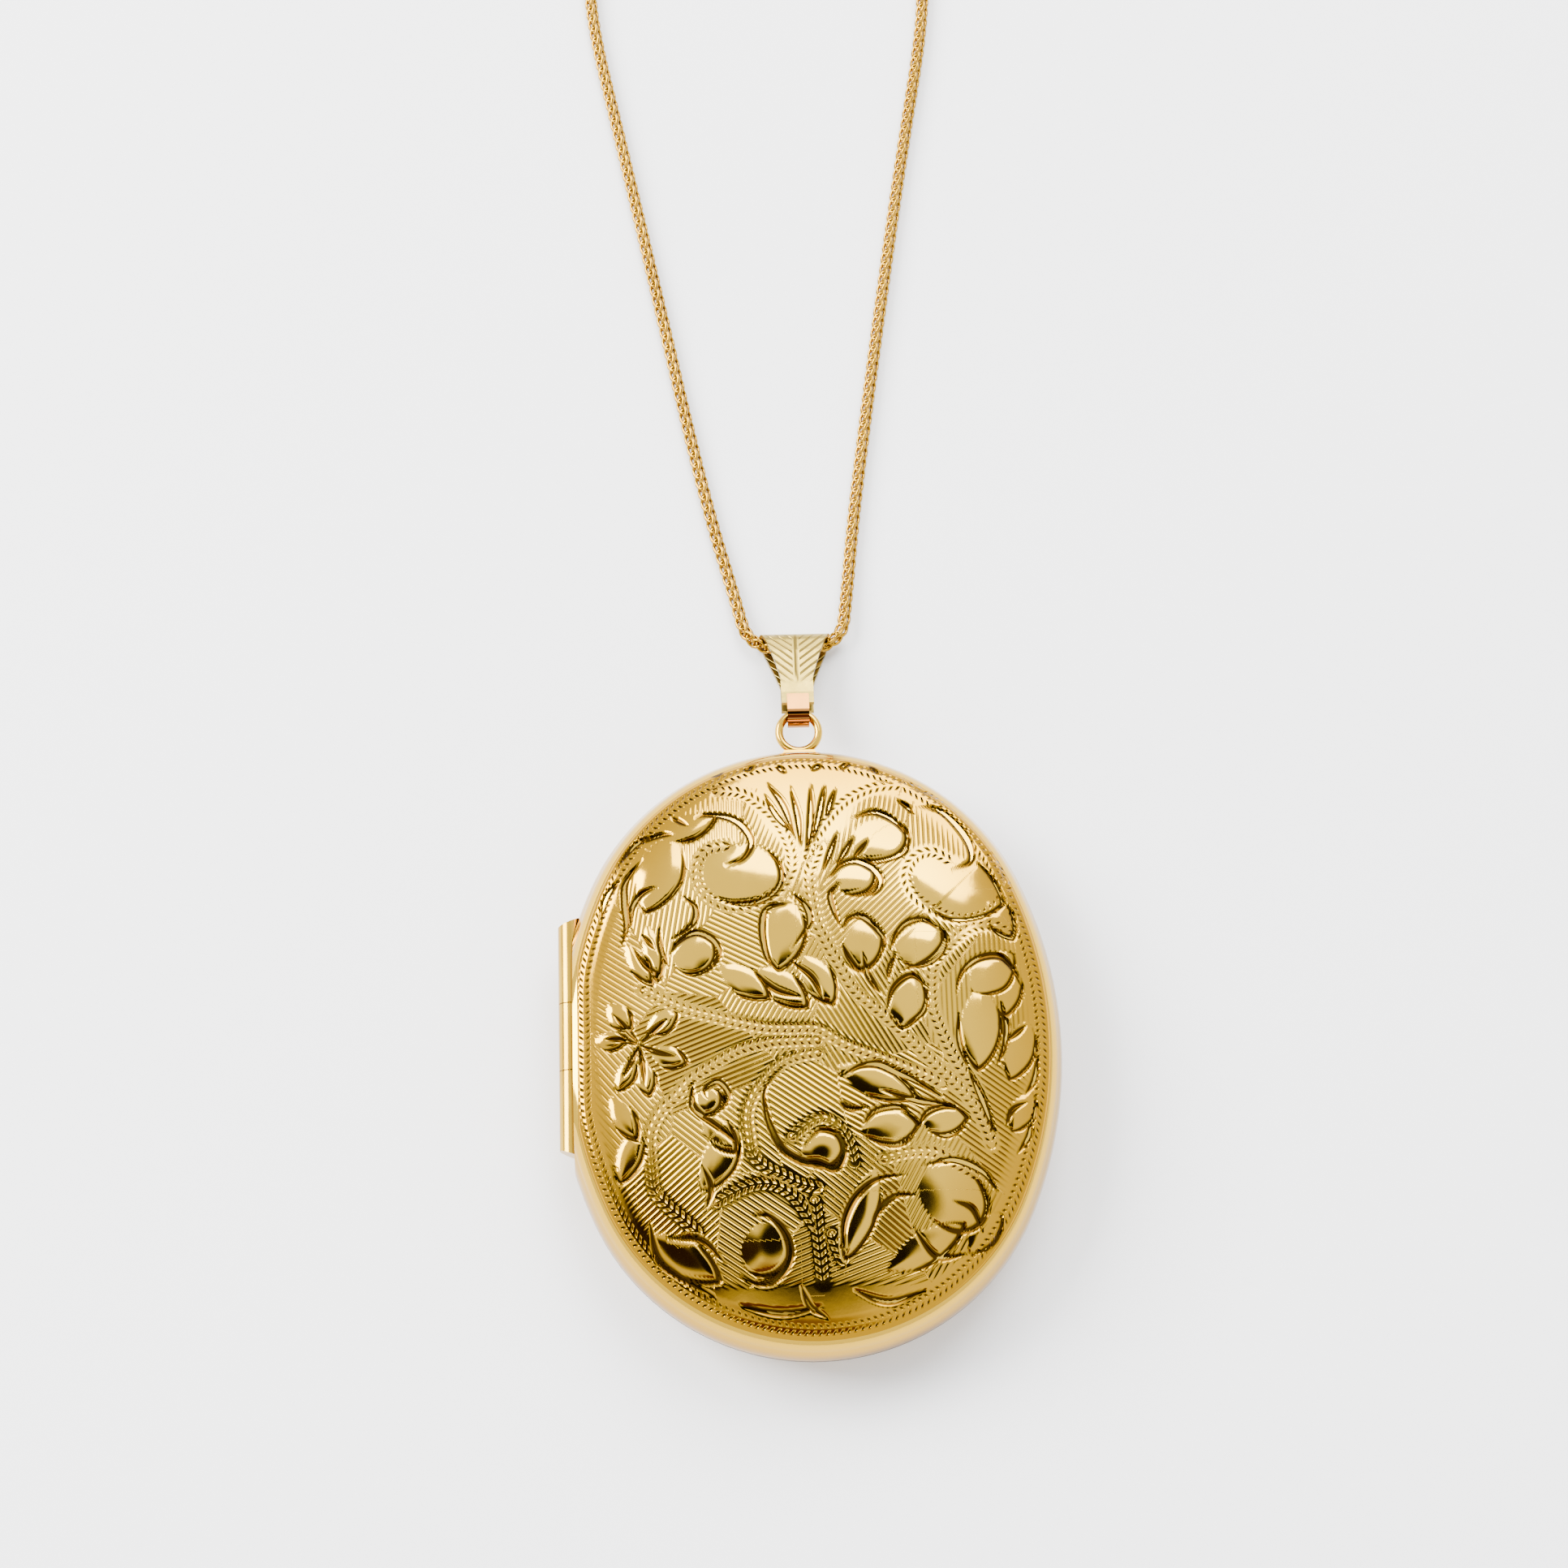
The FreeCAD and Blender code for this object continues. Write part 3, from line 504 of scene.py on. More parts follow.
flower_cuts = [
    [(-12.0, -0.3), (-11.0, 0.6), (-10.0, 1.4)], [(-12.0, -0.3), (-10.8, -0.9), (-9.4, -1.3)],
    [(-12.0, -0.3), (-12.9, 0.9), (-13.8, 2.0)], [(-12.0, -0.3), (-13.2, 0.1), (-14.4, 0.2)],
    [(-12.0, -0.3), (-12.6, -1.5), (-13.2, -2.6)], [(-12.0, -0.3), (-11.8, -1.8), (-11.7, -3.3)],
    [(-7.4, -4.4), (-7.5, -3.7), (-6.6, -3.2), (-5.9, -4.0), (-6.2, -4.9), (-6.9, -5.5)],
    [(-8.3, -3.2), (-8.4, -4.2), (-8.1, -5.2), (-5.8, -7.1), (-5.1, -8.2)]]
low_scroll_cuts = [
    [(-2.0, -2.4), (-3.3, -3.8), (-3.3, -5.3), (-3.0, -6.5), (-2.2, -8.1), (-0.8, -9.0), (0.2, -9.1),
     (1.4, -9.5), (2.0, -8.4), (1.7, -7.3), (0.9, -6.9), (0.1, -7.0), (-0.7, -8.0)],
    [(-4.4, -12.6), (-3.4, -12.6), (-2.4, -13.5), (-1.9, -14.8), (-2.1, -16.0), (-3.0, -17.0),
     (-4.1, -17.2), (-5.3, -16.7)],
    [(6.2, -10.0), (4.3, -10.3), (2.9, -11.3), (2.1, -12.6), (1.8, -13.9), (1.9, -15.1)],
    [(7.0, -11.4), (5.4, -11.5), (4.2, -12.6), (3.6, -14.2)],
    [(7.4, -9.4), (9.6, -9.0), (11.6, -9.8), (12.6, -11.2)], [(6.6, -13.6), (8.2, -15.6), (10.4, -15.4)],
    [(9.4, -11.8), (10.8, -12.4), (11.4, -14.0)], [(-5.4, -18.6), (-2.6, -19.2), (0.2, -18.8)],
    [(2.4, -17.8), (4.8, -18.6), (7.4, -17.8)], [(-1.2, -17.4), (-0.6, -18.8), (0.6, -19.6)],
    [(-11.5, -12.7), (-11.0, -15.1), (-9.7, -16.4), (-7.1, -17.9)],
    [(-10.4, -13.9), (-8.0, -14.1), (-6.4, -15.7)], [(-7.8, -9.0), (-7.2, -10.6), (-7.6, -12.0)]]
top_band_cuts = [[(-6.6, 19.6), (-5.6, 19.9)], [(-4.2, 19.9), (-3.4, 20.3)], [(-1.8, 20.3), (-1.2, 19.6)],
                 [(0.6, 19.8), (1.5, 20.3)], [(2.6, 19.9), (3.6, 20.4)], [(4.8, 20.2), (5.6, 19.5)],
                 [(-13.4, 13.0), (-12.2, 14.4), (-11.0, 15.2)], [(-14.6, 8.8), (-14.2, 10.6), (-13.2, 12.0)],
                 [(-2.6, 18.9), (-1.4, 17.0), (-0.6, 14.2)], [(1.6, 18.7), (1.2, 16.6), (0.5, 13.9)]]
scroll_hooks = [[(-7.8, 16.3), (-6.8, 16.5), (-5.3, 16.2), (-4.3, 15.4), (-3.8, 14.2), (-4.4, 13.0),
                 (-5.7, 12.5)]]
wide_cuts = (fan_blades + left_leaf_cuts + centre_leaf_cuts + top_right_cuts + leaf_pair_cuts
             + right_leaf_cuts + low_centre_cuts + flower_cuts + low_scroll_cuts + top_band_cuts
             + scroll_hooks)

nicked_stems = [
    [(-6.2, 18.4), (-4.4, 18.1), (-2.8, 16.9), (-1.7, 15.5), (-1.0, 13.6), (-1.0, 12.1), (-1.9, 10.6),
     (-3.4, 9.7), (-5.0, 9.4), (-6.4, 9.8), (-7.4, 10.8), (-7.7, 11.8), (-7.5, 13.1), (-6.8, 13.8),
     (-5.6, 14.0)],
    [(0.2, 13.0), (0.8, 14.5), (2.5, 16.8), (4.2, 18.0), (5.9, 18.5), (7.6, 18.5), (9.6, 18.0),
     (11.3, 16.8), (12.9, 15.1), (13.9, 13.5), (14.4, 11.8), (14.3, 10.8), (13.4, 9.2), (11.8, 8.4),
     (10.3, 8.4), (8.9, 9.0), (7.6, 10.1), (7.2, 11.6), (7.9, 12.9), (9.1, 13.3), (10.4, 12.6)],
    [(1.0, 13.6), (0.3, 11.9), (0.3, 10.3), (0.6, 8.3), (1.2, 6.7), (2.1, 5.0), (3.1, 3.1), (4.4, 1.9),
     (5.6, 0.8), (6.8, -0.4), (7.9, -1.5), (8.9, -2.6), (10.3, -4.0), (11.4, -5.5), (12.1, -7.0),
     (12.3, -7.9)],
    [(-11.6, 3.6), (-9.9, 2.6), (-8.4, 1.9), (-6.7, 1.4), (-5.0, 0.9), (-3.1, 0.5), (-1.4, 0.4),
     (0.5, 0.3), (2.3, -0.8), (4.3, -1.6), (6.2, -2.4), (7.9, -3.1), (9.1, -3.7)],
    [(0.4, -0.5), (-1.4, -0.5), (-3.2, -0.6), (-5.0, -1.0), (-6.2, -1.6), (-7.4, -2.3), (-8.5, -3.0),
     (-9.5, -4.1), (-10.5, -5.0), (-11.2, -6.2), (-11.4, -7.3), (-11.3, -9.2), (-11.1, -10.6),
     (-10.1, -11.8), (-9.2, -12.6), (-8.3, -13.5)],
    [(0.4, -1.4), (-1.4, -1.7), (-2.6, -2.4), (-3.5, -3.4), (-4.2, -4.4), (-4.6, -5.6), (-4.5, -7.1),
     (-4.3, -8.3), (-3.4, -9.3), (-2.2, -9.9), (-1.1, -10.5), (0.1, -10.8)],
    [(14.3, 7.3), (13.3, 7.8), (11.8, 7.7), (10.5, 6.8), (9.5, 5.8), (8.7, 4.5), (8.6, 1.9), (9.0, 0.4),
     (9.7, -1.3), (10.4, -2.6), (11.0, -3.3), (11.6, -4.6)],
    [(4.8, -8.9), (6.5, -8.5), (8.2, -8.5), (9.6, -9.2), (11.2, -10.1)],
    [(-1.5, -7.2), (-0.3, -6.3), (0.7, -6.0), (1.7, -6.6), (2.4, -7.8), (2.7, -9.1)],
    [(-6.8, -11.6), (-5.9, -11.1), (-4.4, -10.5), (-2.9, -10.5), (-1.7, -11.2), (-0.9, -12.2),
     (-0.2, -13.3)],
    [(-0.1, -11.7), (0.1, -14.4), (0.3, -17.1)], [(1.0, -14.0), (1.7, -15.7)]]

# ruled ground: centre x, centre y and lean of the lines in the part of the field nearest to it
ruled_ground = [(-6.4, 14.7, 90), (-9.5, 9.5, 80), (-5.2, 6.6, -28), (9.6, 14.7, 90), (6.2, 9.8, 45),
                (11.8, 3.4, 90), (-15.2, 6.4, -35), (-15.0, -5.0, -50), (3.4, 1.0, -60),
                (5.2, -5.0, -30), (-1.0, -6.0, -35), (-6.5, -1.2, 20), (-4.6, -6.6, -40),
                (-4.0, -12.6, -35), (3.6, -10.4, -40), (-9.2, -12.0, 40), (0.0, -16.0, 20),
                (12.6, -5.6, -35), (-2.6, 2.2, 60), (5.0, 16.6, 80), (7.6, -9.4, 60), (-2.8, 14.2, 70),
                (8.6, 6.0, -60)]

# raised leaves and scroll ends: centre x, centre y, half length, half width, lean, height
lobes = [(-1.7, 7.3, 2.4, 1.4, 80, 0.13), (3.8, 6.4, 1.9, 1.4, 70, 0.13), (7.9, 6.4, 1.9, 1.5, 30, 0.13),
         (6.7, 2.4, 1.9, 1.3, 80, 0.13), (-8.1, 6.1, 1.6, 1.5, 20, 0.16),
         (5.3, 14.3, 2.1, 1.6, 10, 0.14), (3.5, 11.3, 1.5, 1.2, 20, 0.13),
         (-4.6, 11.9, 2.9, 2.3, -10, 0.12), (10.6, 10.7, 3.2, 2.2, -20, 0.12),
         (11.9, 0.4, 2.7, 1.3, 85, 0.14), (14.6, -1.2, 2.0, 1.0, 70, 0.1),
         (4.4, -3.5, 2.6, 1.0, -22, 0.12), (5.2, -6.7, 1.8, 1.1, 5, 0.12),
         (9.0, -6.2, 1.5, 0.9, 5, 0.12), (0.5, -8.1, 1.5, 1.3, 20, 0.2),
         (3.0, -12.6, 2.9, 1.0, 70, 0.18), (-3.6, -14.8, 1.9, 1.7, 60, 0.18),
         (9.4, -11.6, 2.6, 2.1, -40, 0.14), (-6.6, -8.6, 2.2, 1.1, 60, 0.14),
         (-10.4, 1.2, 1.1, 0.7, 30, 0.12), (-10.0, -1.3, 1.2, 0.7, -20, 0.12),
         (-13.4, 1.8, 1.1, 0.7, -50, 0.12), (-14.0, 0.1, 1.0, 0.6, 0, 0.12),
         (-13.0, -2.4, 1.1, 0.6, 60, 0.12), (-11.6, -2.7, 1.1, 0.6, 100, 0.12),
         (-10.4, 12.2, 2.7, 1.5, 70, 0.13), (-1.9, 3.4, 2.0, 1.0, -40, 0.12),
         (0.6, 3.9, 1.8, 1.0, -60, 0.12), (-9.2, -15.2, 2.6, 1.1, -35, 0.14),
         (-8.3, 15.6, 1.9, 0.9, 20, 0.12), (12.9, 4.4, 1.9, 1.3, 40, 0.12),
         (7.4, -15.0, 2.8, 1.0, 30, 0.12), (-4.6, 3.9, 1.9, 0.9, -35, 0.13),
         (-12.0, 5.6, 1.6, 0.6, 120, 0.12), (-11.0, 6.4, 1.8, 0.6, 100, 0.12),
         (-7.4, -4.6, 1.1, 0.9, 20, 0.13), (-6.6, -6.8, 1.6, 0.8, -50, 0.14),
         (13.6, 8.6, 1.7, 0.9, -60, 0.12), (14.2, 3.0, 1.6, 0.7, 75, 0.12),
         (14.6, -5.6, 1.4, 0.8, 60, 0.12), (-12.8, -8.0, 1.8, 0.8, 70, 0.12),
         (-13.2, -5.4, 1.6, 0.7, 120, 0.12), (11.6, -14.0, 1.6, 0.8, 50, 0.12)]


def lobe_reach(x, y, lobe):
    """How far out in a lobe a point is, one at its outline: round lobes take the distance from their
    middle, slim ones the sum of a power of the place along and one across, which gives pointed ends."""
    cx, cy, half_long, half_wide, lean, _ = lobe
    turn = math.radians(lean)
    u = np.abs(math.cos(turn) * (x - cx) + math.sin(turn) * (y - cy)) / half_long
    v = np.abs(-math.sin(turn) * (x - cx) + math.cos(turn) * (y - cy)) / half_wide
    if half_wide > 0.72 * half_long:
        return np.hypot(u, v)
    return (u / 1.12) ** 1.8 + (v / 1.12) ** 1.3


def lobe_height(x, y, lobe):
    """A swelling whose height falls from its middle as one less the square of the reach."""
    return lobe[5] * np.clip(1 - lobe_reach(x, y, lobe) ** 2, 0, 1) ** 1.2


def lobe_rim(x, y, lobe):
    """Depth of the crescent cut round the lower right of a lobe, the side away from the lights: a V across
    its outline, fading out. Through the cut layer it is also darkened there, as painted shade of the raised
    lobe.
    """
    cx, cy, half_wide = lobe[0], lobe[1], lobe[3]
    out = np.hypot(x - cx, y - cy) + 1e-6
    shaded = np.clip((0.75 * (x - cx) - 0.65 * (y - cy)) / out + 0.35, 0, 1)
    width = 0.26 * shaded + 0.001
    return np.clip(1 - np.abs(lobe_reach(x, y, lobe) - 1) * half_wide / width, 0, 1) * width


def stroke_place(x, y, stroke):
    """Distance along a stem and signed distance to its side, for points within a millimetre of it."""
    line = smooth_stroke(stroke)
    along, aside = np.zeros_like(x), np.full_like(x, 9.0)
    low, high = line.min(0) - 1, line.max(0) + 1
    near = (x > low[0]) & (x < high[0]) & (y > low[1]) & (y < high[1])
    px, py = x[near], y[near]
    a, d = line[:-1], np.diff(line, axis=0)
    steps = np.linalg.norm(d, axis=1)
    reach = np.concatenate([[0], np.cumsum(steps)])[:-1]
    t = ((px[:, None] - a[:, 0]) * d[:, 0] + (py[:, None] - a[:, 1]) * d[:, 1]) / steps ** 2
    t = np.clip(t, 0, 1)
    off_x, off_y = px[:, None] - a[:, 0] - t * d[:, 0], py[:, None] - a[:, 1] - t * d[:, 1]
    away = np.hypot(off_x, off_y)
    closest = away.argmin(1)
    rows = np.arange(len(px))
    side = np.sign(d[closest, 0] * off_y[rows, closest] - d[closest, 1] * off_x[rows, closest])
    along[near] = reach[closest] + t[rows, closest] * steps[closest]
    aside[near] = away[rows, closest] * side
    return along, aside


def tapered_depth(x, y, stroke, width):
    """Depth of one bright cut: a V across it, whose width swells from both ends to its middle."""
    line = smooth_stroke(stroke)
    depth = np.zeros_like(x)
    low, high = line.min(0) - width, line.max(0) + width
    near = (x > low[0]) & (x < high[0]) & (y > low[1]) & (y < high[1])
    px, py = x[near], y[near]
    a, b = line[:-1], line[1:]
    d = b - a
    t = ((px[:, None] - a[:, 0]) * d[:, 0] + (py[:, None] - a[:, 1]) * d[:, 1]) / (d ** 2).sum(1)
    t = np.clip(t, 0, 1)
    away = np.hypot(px[:, None] - a[:, 0] - t * d[:, 0], py[:, None] - a[:, 1] - t * d[:, 1])
    closest = away.argmin(1)
    rows = np.arange(len(px))
    progress = (closest + t[rows, closest]) / len(a)
    half = 0.5 * width * (0.2 + 0.8 * np.sin(np.pi * progress) ** 0.8)
    depth[near] = np.clip(1 - away[rows, closest] / half, 0, 1) * half
    return depth


def field_grid():
    """A square grid bent to the field's outline: each square ring becomes a smaller copy of it."""
    side = np.linspace(-1, 1, field_cells + 1)
    a, b = np.meshgrid(side, side, indexing="ij")
    ring = np.maximum(np.abs(a), np.abs(b))
    major = np.abs(a) >= np.abs(b)
    swing = np.where(major, b / np.where(a == 0, 1, a), a / np.where(b == 0, 1, b)) * np.pi / 4
    angle = np.where(major, np.where(a >= 0, 0, np.pi) + swing,
                     np.where(b >= 0, np.pi / 2, -np.pi / 2) - swing)
    reach = np.full_like(angle, 14.0)
    for _ in range(24):
        reach += (inset_from_edge(reach * np.cos(angle), reach * np.sin(angle)) - field_inset) * 0.9
    limit = np.where(np.cos(angle) < -0.2, hinge_side_x / np.minimum(np.cos(angle), -0.2), 99.0)
    reach = np.minimum(reach, limit)
    radius = ring * reach
    return radius * np.cos(angle), radius * np.sin(angle), ring


field_x, field_y, field_ring = field_grid()
cut_depth = np.zeros_like(field_x)
for stroke in wide_cuts:
    length = np.linalg.norm(np.diff(np.array(stroke), axis=0), axis=1).sum()
    width = cut_width + cut_growth * min(length, growth_limit)
    cut_depth = np.maximum(cut_depth, tapered_depth(field_x, field_y, stroke, width))
border_angle = np.linspace(-np.pi, np.pi, border_steps + 1)
field_angle = np.arctan2(field_y, field_x)
rim_reach = np.hypot(half_width * np.cos(border_angle), half_length * np.sin(border_angle))
rim_steps = (rim_reach[1:] + rim_reach[:-1]) * np.pi / border_steps
arc_length = np.concatenate([[0], np.cumsum(rim_steps)])
tick_along = np.interp(field_angle, border_angle, arc_length)
tick_aside = inset_from_edge(field_x, field_y) - border_inset
tick_aside = np.where(field_x < hinge_side_x + hinge_band,
                      np.minimum(tick_aside, field_x - hinge_side_x - hinge_border), tick_aside)
for stroke in nicked_stems:
    along, aside = stroke_place(field_x, field_y, stroke)
    closer = np.abs(aside) < np.abs(tick_aside)
    tick_along = np.where(closer, along, tick_along)
    tick_aside = np.where(closer, aside, tick_aside)
stem_bed = np.clip(1.6 - np.abs(tick_aside) * 2.2, 0, 1)
swelling = np.zeros_like(field_x)
for lobe in lobes:
    swelling = np.maximum(swelling, lobe_height(field_x, field_y, lobe))
    cut_depth = np.maximum(cut_depth, lobe_rim(field_x, field_y, lobe))
nearest = np.full_like(field_x, 1e9)
lines = np.zeros_like(field_x)
for centre_x, centre_y, lean in ruled_ground:
    apart = np.hypot(field_x - centre_x, field_y - centre_y)
    lean = math.radians(lean)
    lines = np.where(apart < nearest, math.cos(lean) * field_y - math.sin(lean) * field_x, lines)
    nearest = np.minimum(nearest, apart)
plain = np.clip(np.minimum(np.hypot(field_x, field_y - 17.4) - 3.2, 18.6 - field_y), 0, 1)
ground = plain * (1 - np.clip(swelling * 60, 0, 1))
ground *= (1 - np.clip(cut_depth * 8, 0, 1)) * (1 - np.clip(stem_bed * 2, 0, 1))
ground *= np.clip(inset_from_edge(field_x, field_y) - 2.4, 0, 1) * np.clip((field_y + 17.5) * 1.5, 0, 1)
edge_roll = np.clip((1 - field_ring) * 28, 0, 1)
lift = field_lift * np.sqrt(np.clip(1 - (1 - edge_roll) ** 2, 0, 1)) - 0.03 * (1 - edge_roll)
# deeper gold towards the field's edge, where the crown slopes down: painted darker reflection
edge_reflection_shade = np.clip(1.25 - inset_from_edge(field_x, field_y) / 5.5, 0, 1)
relief = np.minimum(cut_depth * 0.65, 0.17) + 0.02 * stem_bed - swelling * 0.7
field_z = cover_height(field_x, field_y) + lift - relief * edge_roll
field_side = field_cells + 1
quads = grid_faces(field_side, field_side, False, False, flip=True)
number = np.arange(field_side ** 2).reshape(field_side, field_side)
brim = np.concatenate([number[:-1, 0], number[-1, :-1], number[:0:-1, -1], number[0, :0:-1]])
under = np.stack([brim, np.roll(brim, -1), np.full_like(brim, field_side ** 2)], axis=1)
top = np.stack([field_x, field_y, field_z], axis=-1).reshape(-1, 3)
field_points = np.vstack([top, [(0.0, 0.0, underside_height)]]) * MM
field_faces = np.concatenate([quads[:, :3], quads[:, [0, 2, 3]], under])
engraved_field = mesh_piece("front_cover_engraving", field_points, field_faces)
field_layers = {"cut": np.clip(cut_depth * 6, 0, 1), "edge": edge_reflection_shade, "ground": ground, "ruling": lines,
                "tick_along": tick_along, "tick_aside": np.clip(tick_aside, -2, 2)}
for name, values in field_layers.items():
    layer = engraved_field.data.attributes.new(name, "FLOAT", "POINT")
    layer.data.foreach_set("value", np.append(values, 0.0).astype(np.float32))


def engraved_finish():
    """Polished field gold, deeper towards the sloping edge as painted darker reflection, and darkened in the
    cuts as painted shade. Fine ruled lines are stripes of the ruling phase, and two rows of slanted nicks
    follow each stem: stripes of the distance along it, cut off at each side; both are darkened too, as
    painted shade."""
    finish = Finish("engraved_gold", Metallic=1.0)
    cloud = finish.noise(160.0)
    marks = finish.noise(900.0, 5.0)
    cut = finish.attribute("cut")
    mask = finish.attribute("ground")
    stripe = ((finish.attribute("ruling") * (2 * math.pi / 0.36)).wave() * 0.5 + 0.5).power(2.0) * mask
    aside = finish.attribute("tick_aside")
    across = finish.add("ShaderNodeMath", {"operation": "ABSOLUTE"}, {0: aside})
    row = (1.0 - finish.add("ShaderNodeMath", {"operation": "ABSOLUTE"}, {0: across - 0.24}) * 5.5).clamp()
    nick = ((finish.attribute("tick_along") * (2 * math.pi / 0.52) + across * 9.0).wave() * 1.6).clamp() * row
    # the edge layer makes the gold deeper towards the sloping edge: painted darker reflection
    tone = finish.blend((finish.attribute("edge") * 0.8 + cloud * 0.4).clamp(), pale_gold, deep_gold)
    # painted shade in the grooves: the cuts, ruled lines and nicks are blended towards near black
    dark = (cut * 1.5 + stripe * 0.7 + nick * 1.2).clamp()
    tone = finish.blend(dark, tone, (0.04, 0.018, 0.001, 1.0))
    height = 1.0 - stripe * 0.5 - nick + marks * 0.05
    rough = ((marks - 0.5) * 0.10 + 0.08 + cut * 0.06 + stripe * 0.1).clamp()
    finish.feed(Base_Color=tone, Roughness=rough, Normal=finish.bump(height, 0.00007, 1.0))
    return finish.material


engraved_field.data.materials.append(engraved_finish())
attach(engraved_field, "front_half")


# ---- Back cover, rims and picture frames -------------------------------------------------------
# The plain back is stamped like the front. Inside, each half has a soldered rim, and a snap-in
# oval frame holds a clear window over a paper card.

# on the back the dark band is wider and lower, about 3.2 to 4.2 mm up: painted shade along the wall below the
# seam
back_gold = shell_gold("back_gold", 0.12, 3.7, 0.5)
inner_gold = gold("inner_gold", (0.62, 0.39, 0.04, 1.0), (0.42, 0.22, 0.006, 1.0), 0.2).material
wear("back_cover", back_gold)
for node in ("back_rim", "front_rim", "back_picture_frame", "front_picture_frame"):
    wear(node, inner_gold)


def window_finish():
    """Thin clear celluloid, faintly yellowed, with soft handling marks."""
    finish = Finish("clear_window", IOR=1.49, Alpha=0.16)
    marks = finish.noise(500.0)
    finish.feed(Base_Color=finish.blend(marks, (0.98, 0.98, 0.95, 1), (0.95, 0.93, 0.86, 1)),
                Roughness=(marks * 0.08 + 0.02).clamp())
    return finish.material


def card_finish():
    """Cream card with a fine fibrous tooth."""
    finish = Finish("picture_card", Roughness=0.85)
    fibre = finish.noise(2500.0, 6.0)
    finish.feed(Base_Color=finish.blend(fibre, (0.86, 0.81, 0.70, 1), (0.92, 0.88, 0.79, 1)),
                Normal=finish.bump(fibre, 0.00003, 0.5))
    return finish.material


clear_window = window_finish()
picture_card = card_finish()
for half in ("back", "front"):
    wear(half + "_window", clear_window)
    wear(half + "_picture_card", picture_card)


# ---- Hinge -------------------------------------------------------------------------------------
# Three drawn tube knuckles on one pin. The outer two are soldered to the back and the middle one to
# the front, and the pin is riveted in the outer two.

hinge_gold = gold("hinge_gold", (0.58, 0.37, 0.04, 1.0), (0.32, 0.17, 0.004, 1.0), 0.18).material
for node in ("hinge_knuckle_upper", "hinge_knuckle_middle", "hinge_knuckle_lower", "hinge_pin"):
    wear(node, hinge_gold)


# ---- Hanging ring and bail ---------------------------------------------------------------------
# A round wire ring stands on a flared foot at the top of the back. The bail is a folded strip,
# satin and cut like a leaf, tied to the ring by a small polished strap of redder gold.

ring_gold = gold("ring_gold", pale_gold, deep_gold, 0.14).material
# the strap's redder gold is also made deeper, as painted dark reflection
rose_gold = gold("rose_gold", (0.50, 0.22, 0.05, 1.0), (0.30, 0.11, 0.015, 1.0), 0.06).material


def bail_finish():
    """Satin gold cut as a leaf: a vein down the middle and slanting side cuts that stop at its ends."""
    finish = Finish("satin_gold", Metallic=1.0)
    grain = finish.noise(2600.0, 5.0)
    cloud = finish.noise(300.0)
    x, y, _ = finish.parts()
    side = finish.add("ShaderNodeMath", {"operation": "ABSOLUTE"}, {0: x})
    leaf = (y - 28.0).clamp() * ((32.3 - y) * 3.0).clamp()
    vein = (1.0 - side * 7.0).clamp() * leaf
    slant = (((y - side * 0.85) * (2 * math.pi / 0.62) + cloud * 3.0).wave() * 1.5 - 0.5).clamp()
    cut = (vein + slant * leaf * (side > 0.25)).clamp()
    tone = finish.blend(cloud, (0.44, 0.32, 0.075, 1), (0.30, 0.21, 0.03, 1))
    # the leaf's vein and side cuts are darkened as painted shade in the grooves
    finish.feed(Base_Color=finish.blend(cut * 0.8, tone, (0.10, 0.06, 0.01, 1)),
                Roughness=((grain - 0.5) * 0.3 + 0.33).clamp(),
                Normal=finish.bump(grain * 0.15 - cut, 0.00008, 1.0))
    return finish.material


satin_gold = bail_finish()
for node in ("hanging_ring", "ring_foot"):
    wear(node, ring_gold)
wear("bail_strap", rose_gold)
wear("bail", satin_gold)


# ---- Clasp -------------------------------------------------------------------------------------
# A bolt ring: a hollow ring with a sprung curved bolt, a fixed eye, and a jump ring at each chain
# end. A paper tie holds the wound chain.

for node in ("clasp_body", "clasp_bolt", "clasp_loop", "end_ring_left", "end_ring_right"):
    wear(node, chain_gold)


def spring_finish():
    finish = Finish("spring_steel", Metallic=1.0)
    marks = finish.noise(1500.0)
    finish.feed(Base_Color=finish.blend(marks, (0.55, 0.55, 0.56, 1), (0.7, 0.7, 0.72, 1)),
                Roughness=(marks * 0.2 + 0.2).clamp())
    return finish.material


def tie_finish():
    finish = Finish("paper_tie", Roughness=0.8)
    fibre = finish.noise(3000.0, 6.0)
    finish.feed(Base_Color=finish.blend(fibre, (0.88, 0.86, 0.80, 1), (0.95, 0.94, 0.90, 1)),
                Normal=finish.bump(fibre, 0.00002, 0.5))
    return finish.material


wear("clasp_spring", spring_finish())
wear("coil_tie", tie_finish())


# ---- Table and light ---------------------------------------------------------------------------
# A plain white table under two soft square lights, one at the left and one beyond the bail. The pale
# sky has a few darker patches, which the polished gold reflects.

table = mesh_piece("table", np.array([(-1.5, -1.5, 0), (1.5, -1.5, 0), (1.5, 1.5, 0), (-1.5, 1.5, 0)]),
                   [(0, 1, 2, 3)], smooth=False)


def table_finish():
    finish = Finish("white_table", Roughness=0.6)
    grain = finish.noise(700.0)
    finish.feed(Base_Color=finish.blend(grain, (0.90, 0.90, 0.90, 1), (0.92, 0.92, 0.92, 1)))
    return finish.material


table.data.materials.append(table_finish())


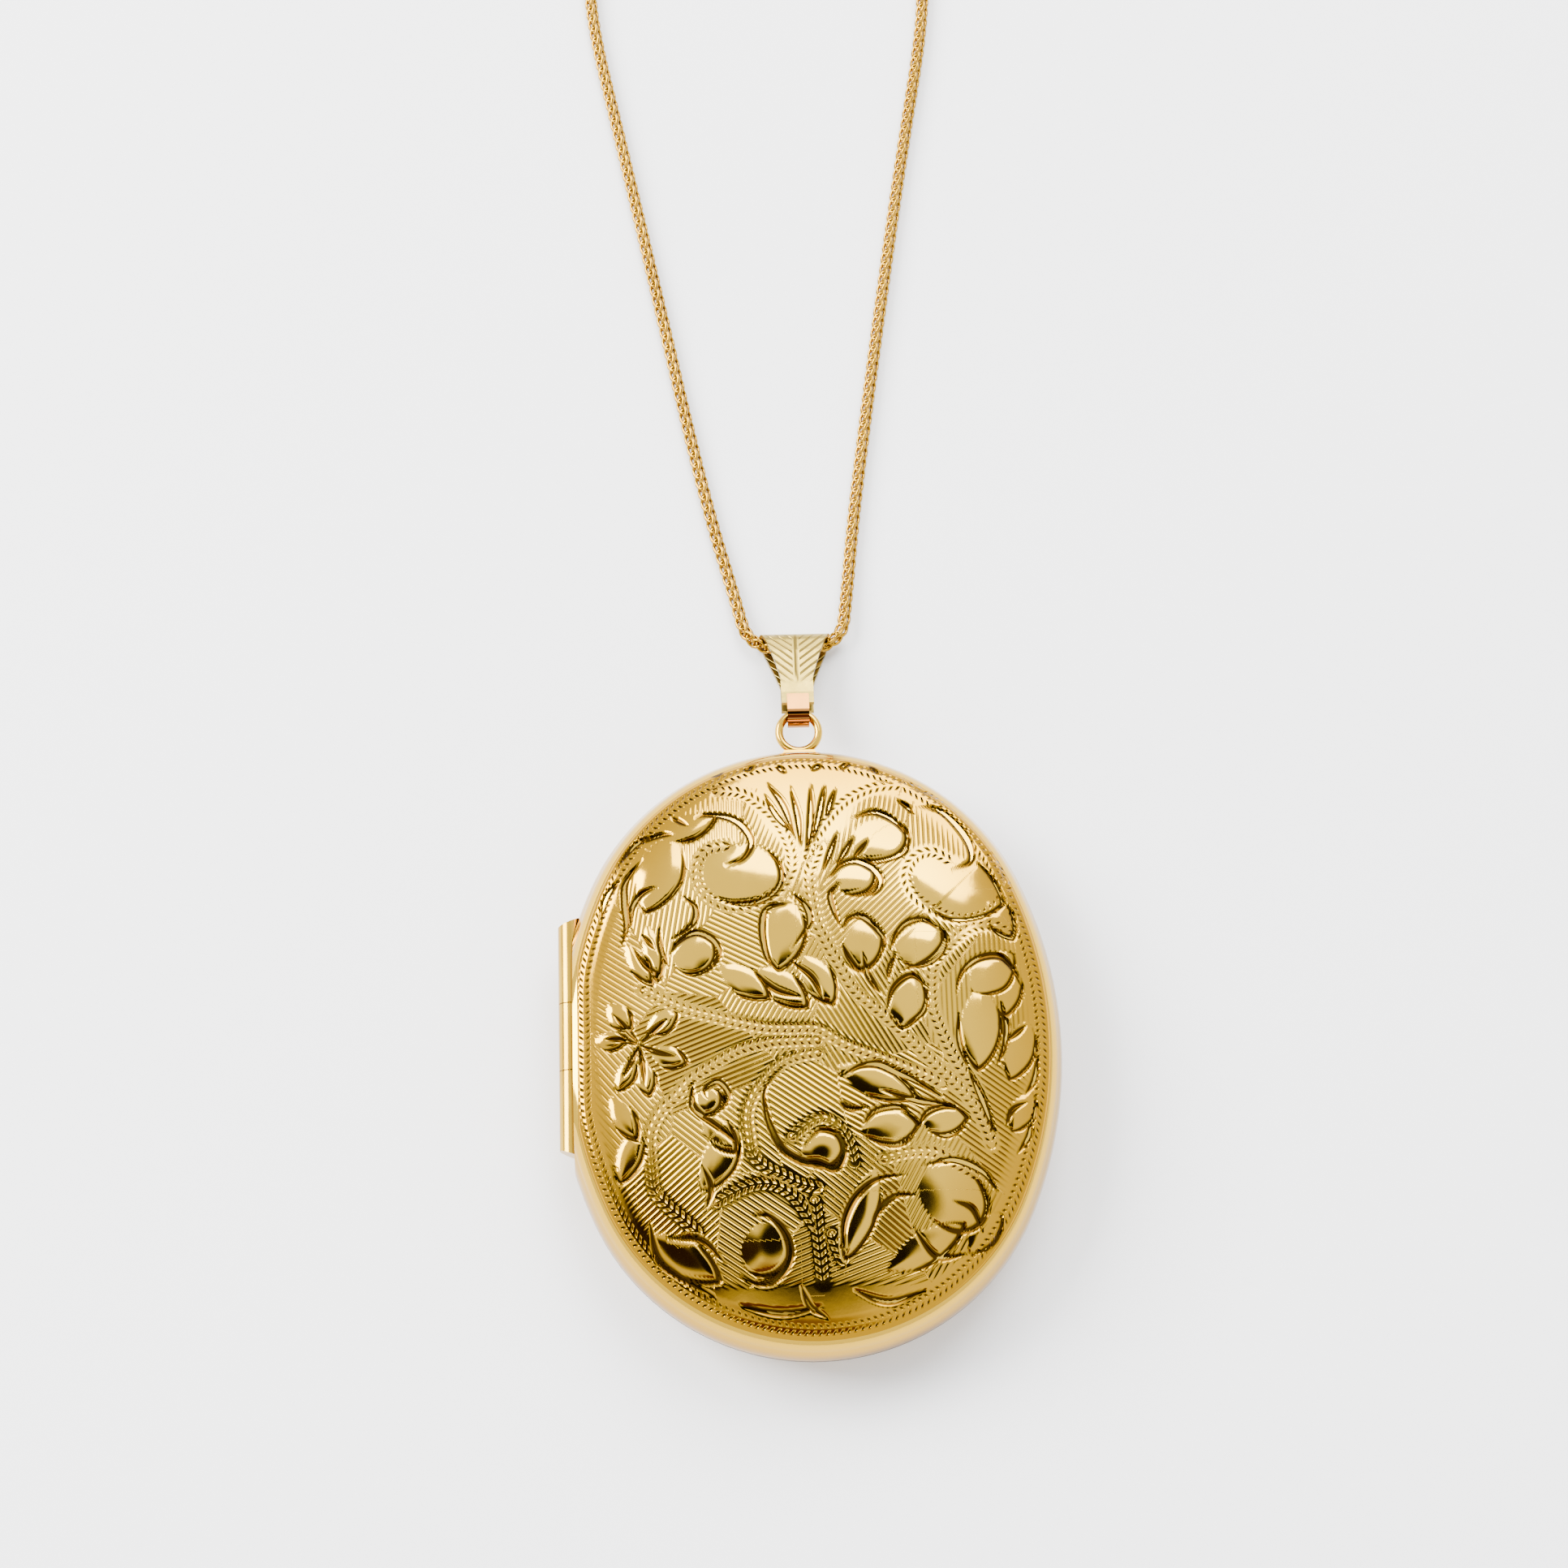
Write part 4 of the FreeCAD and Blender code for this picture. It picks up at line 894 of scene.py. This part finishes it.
def soft_light(name, place, size, power):
    """A square soft box that faces the locket."""
    lamp = bpy.data.lights.new(name, "AREA")
    lamp.shape = "SQUARE"
    lamp.size = size
    lamp.energy = power
    lamp_object = bpy.data.objects.new(name, lamp)
    bpy.context.scene.collection.objects.link(lamp_object)
    place = Vector(place)
    lamp_object.matrix_world = Matrix.Translation(place) @ (
        (place - Vector((0, 0.02, 0))).to_track_quat("Z", "Y").to_matrix().to_4x4())


soft_light("key_light", (-0.65, 0.30, 0.55), 0.5, 26.0)
soft_light("top_light", (0.20, 0.75, 0.80), 0.7, 22.0)
world = bpy.data.worlds.new("studio")
bpy.context.scene.world = world
world.use_nodes = True
sky = world.node_tree
background = sky.nodes["Background"]
background.inputs["Strength"].default_value = 2.3


def sky_patch(direction, start, end):
    """A soft-edged round patch of the sky: one towards a direction, nought outside an angle."""
    place = sky.nodes.new("ShaderNodeTexCoord")
    dot = sky.nodes.new("ShaderNodeVectorMath")
    dot.operation = "DOT_PRODUCT"
    dot.inputs[1].default_value = Vector(direction).normalized()
    reach = sky.nodes.new("ShaderNodeMapRange")
    reach.interpolation_type = "SMOOTHSTEP"
    reach.inputs["From Min"].default_value = math.cos(math.radians(end))
    reach.inputs["From Max"].default_value = math.cos(math.radians(start))
    sky.links.new(place.outputs["Generated"], dot.inputs[0])
    sky.links.new(dot.outputs["Value"], reach.inputs["Value"])
    return reach.outputs[0]


tint = (0.97, 0.98, 1.0, 1.0)
# each patch: shade, direction, and the angles within which it is full and beyond which it is gone
dark_sky = [((0.40, 0.37, 0.33, 1), (0, 0, -1), 52, 98),
            ((0.008, 0.006, 0.004, 1), (0.02, -0.03, 1.0), 9, 17),
            ((0.02, 0.01, 0.004, 1), (-0.32, -0.10, 0.95), 7, 14),
            ((0.12, 0.04, 0.01, 1), (-0.05, -0.55, 0.85), 10, 20)]
for shade, direction, start, end in dark_sky:
    mix = sky.nodes.new("ShaderNodeMix")
    mix.data_type = "RGBA"
    mix.inputs[7].default_value = shade
    if isinstance(tint, tuple):
        mix.inputs[6].default_value = tint
    else:
        sky.links.new(tint, mix.inputs[6])
    sky.links.new(sky_patch(direction, start, end), mix.inputs[0])
    tint = mix.outputs[2]
sky.links.new(tint, background.inputs["Color"])
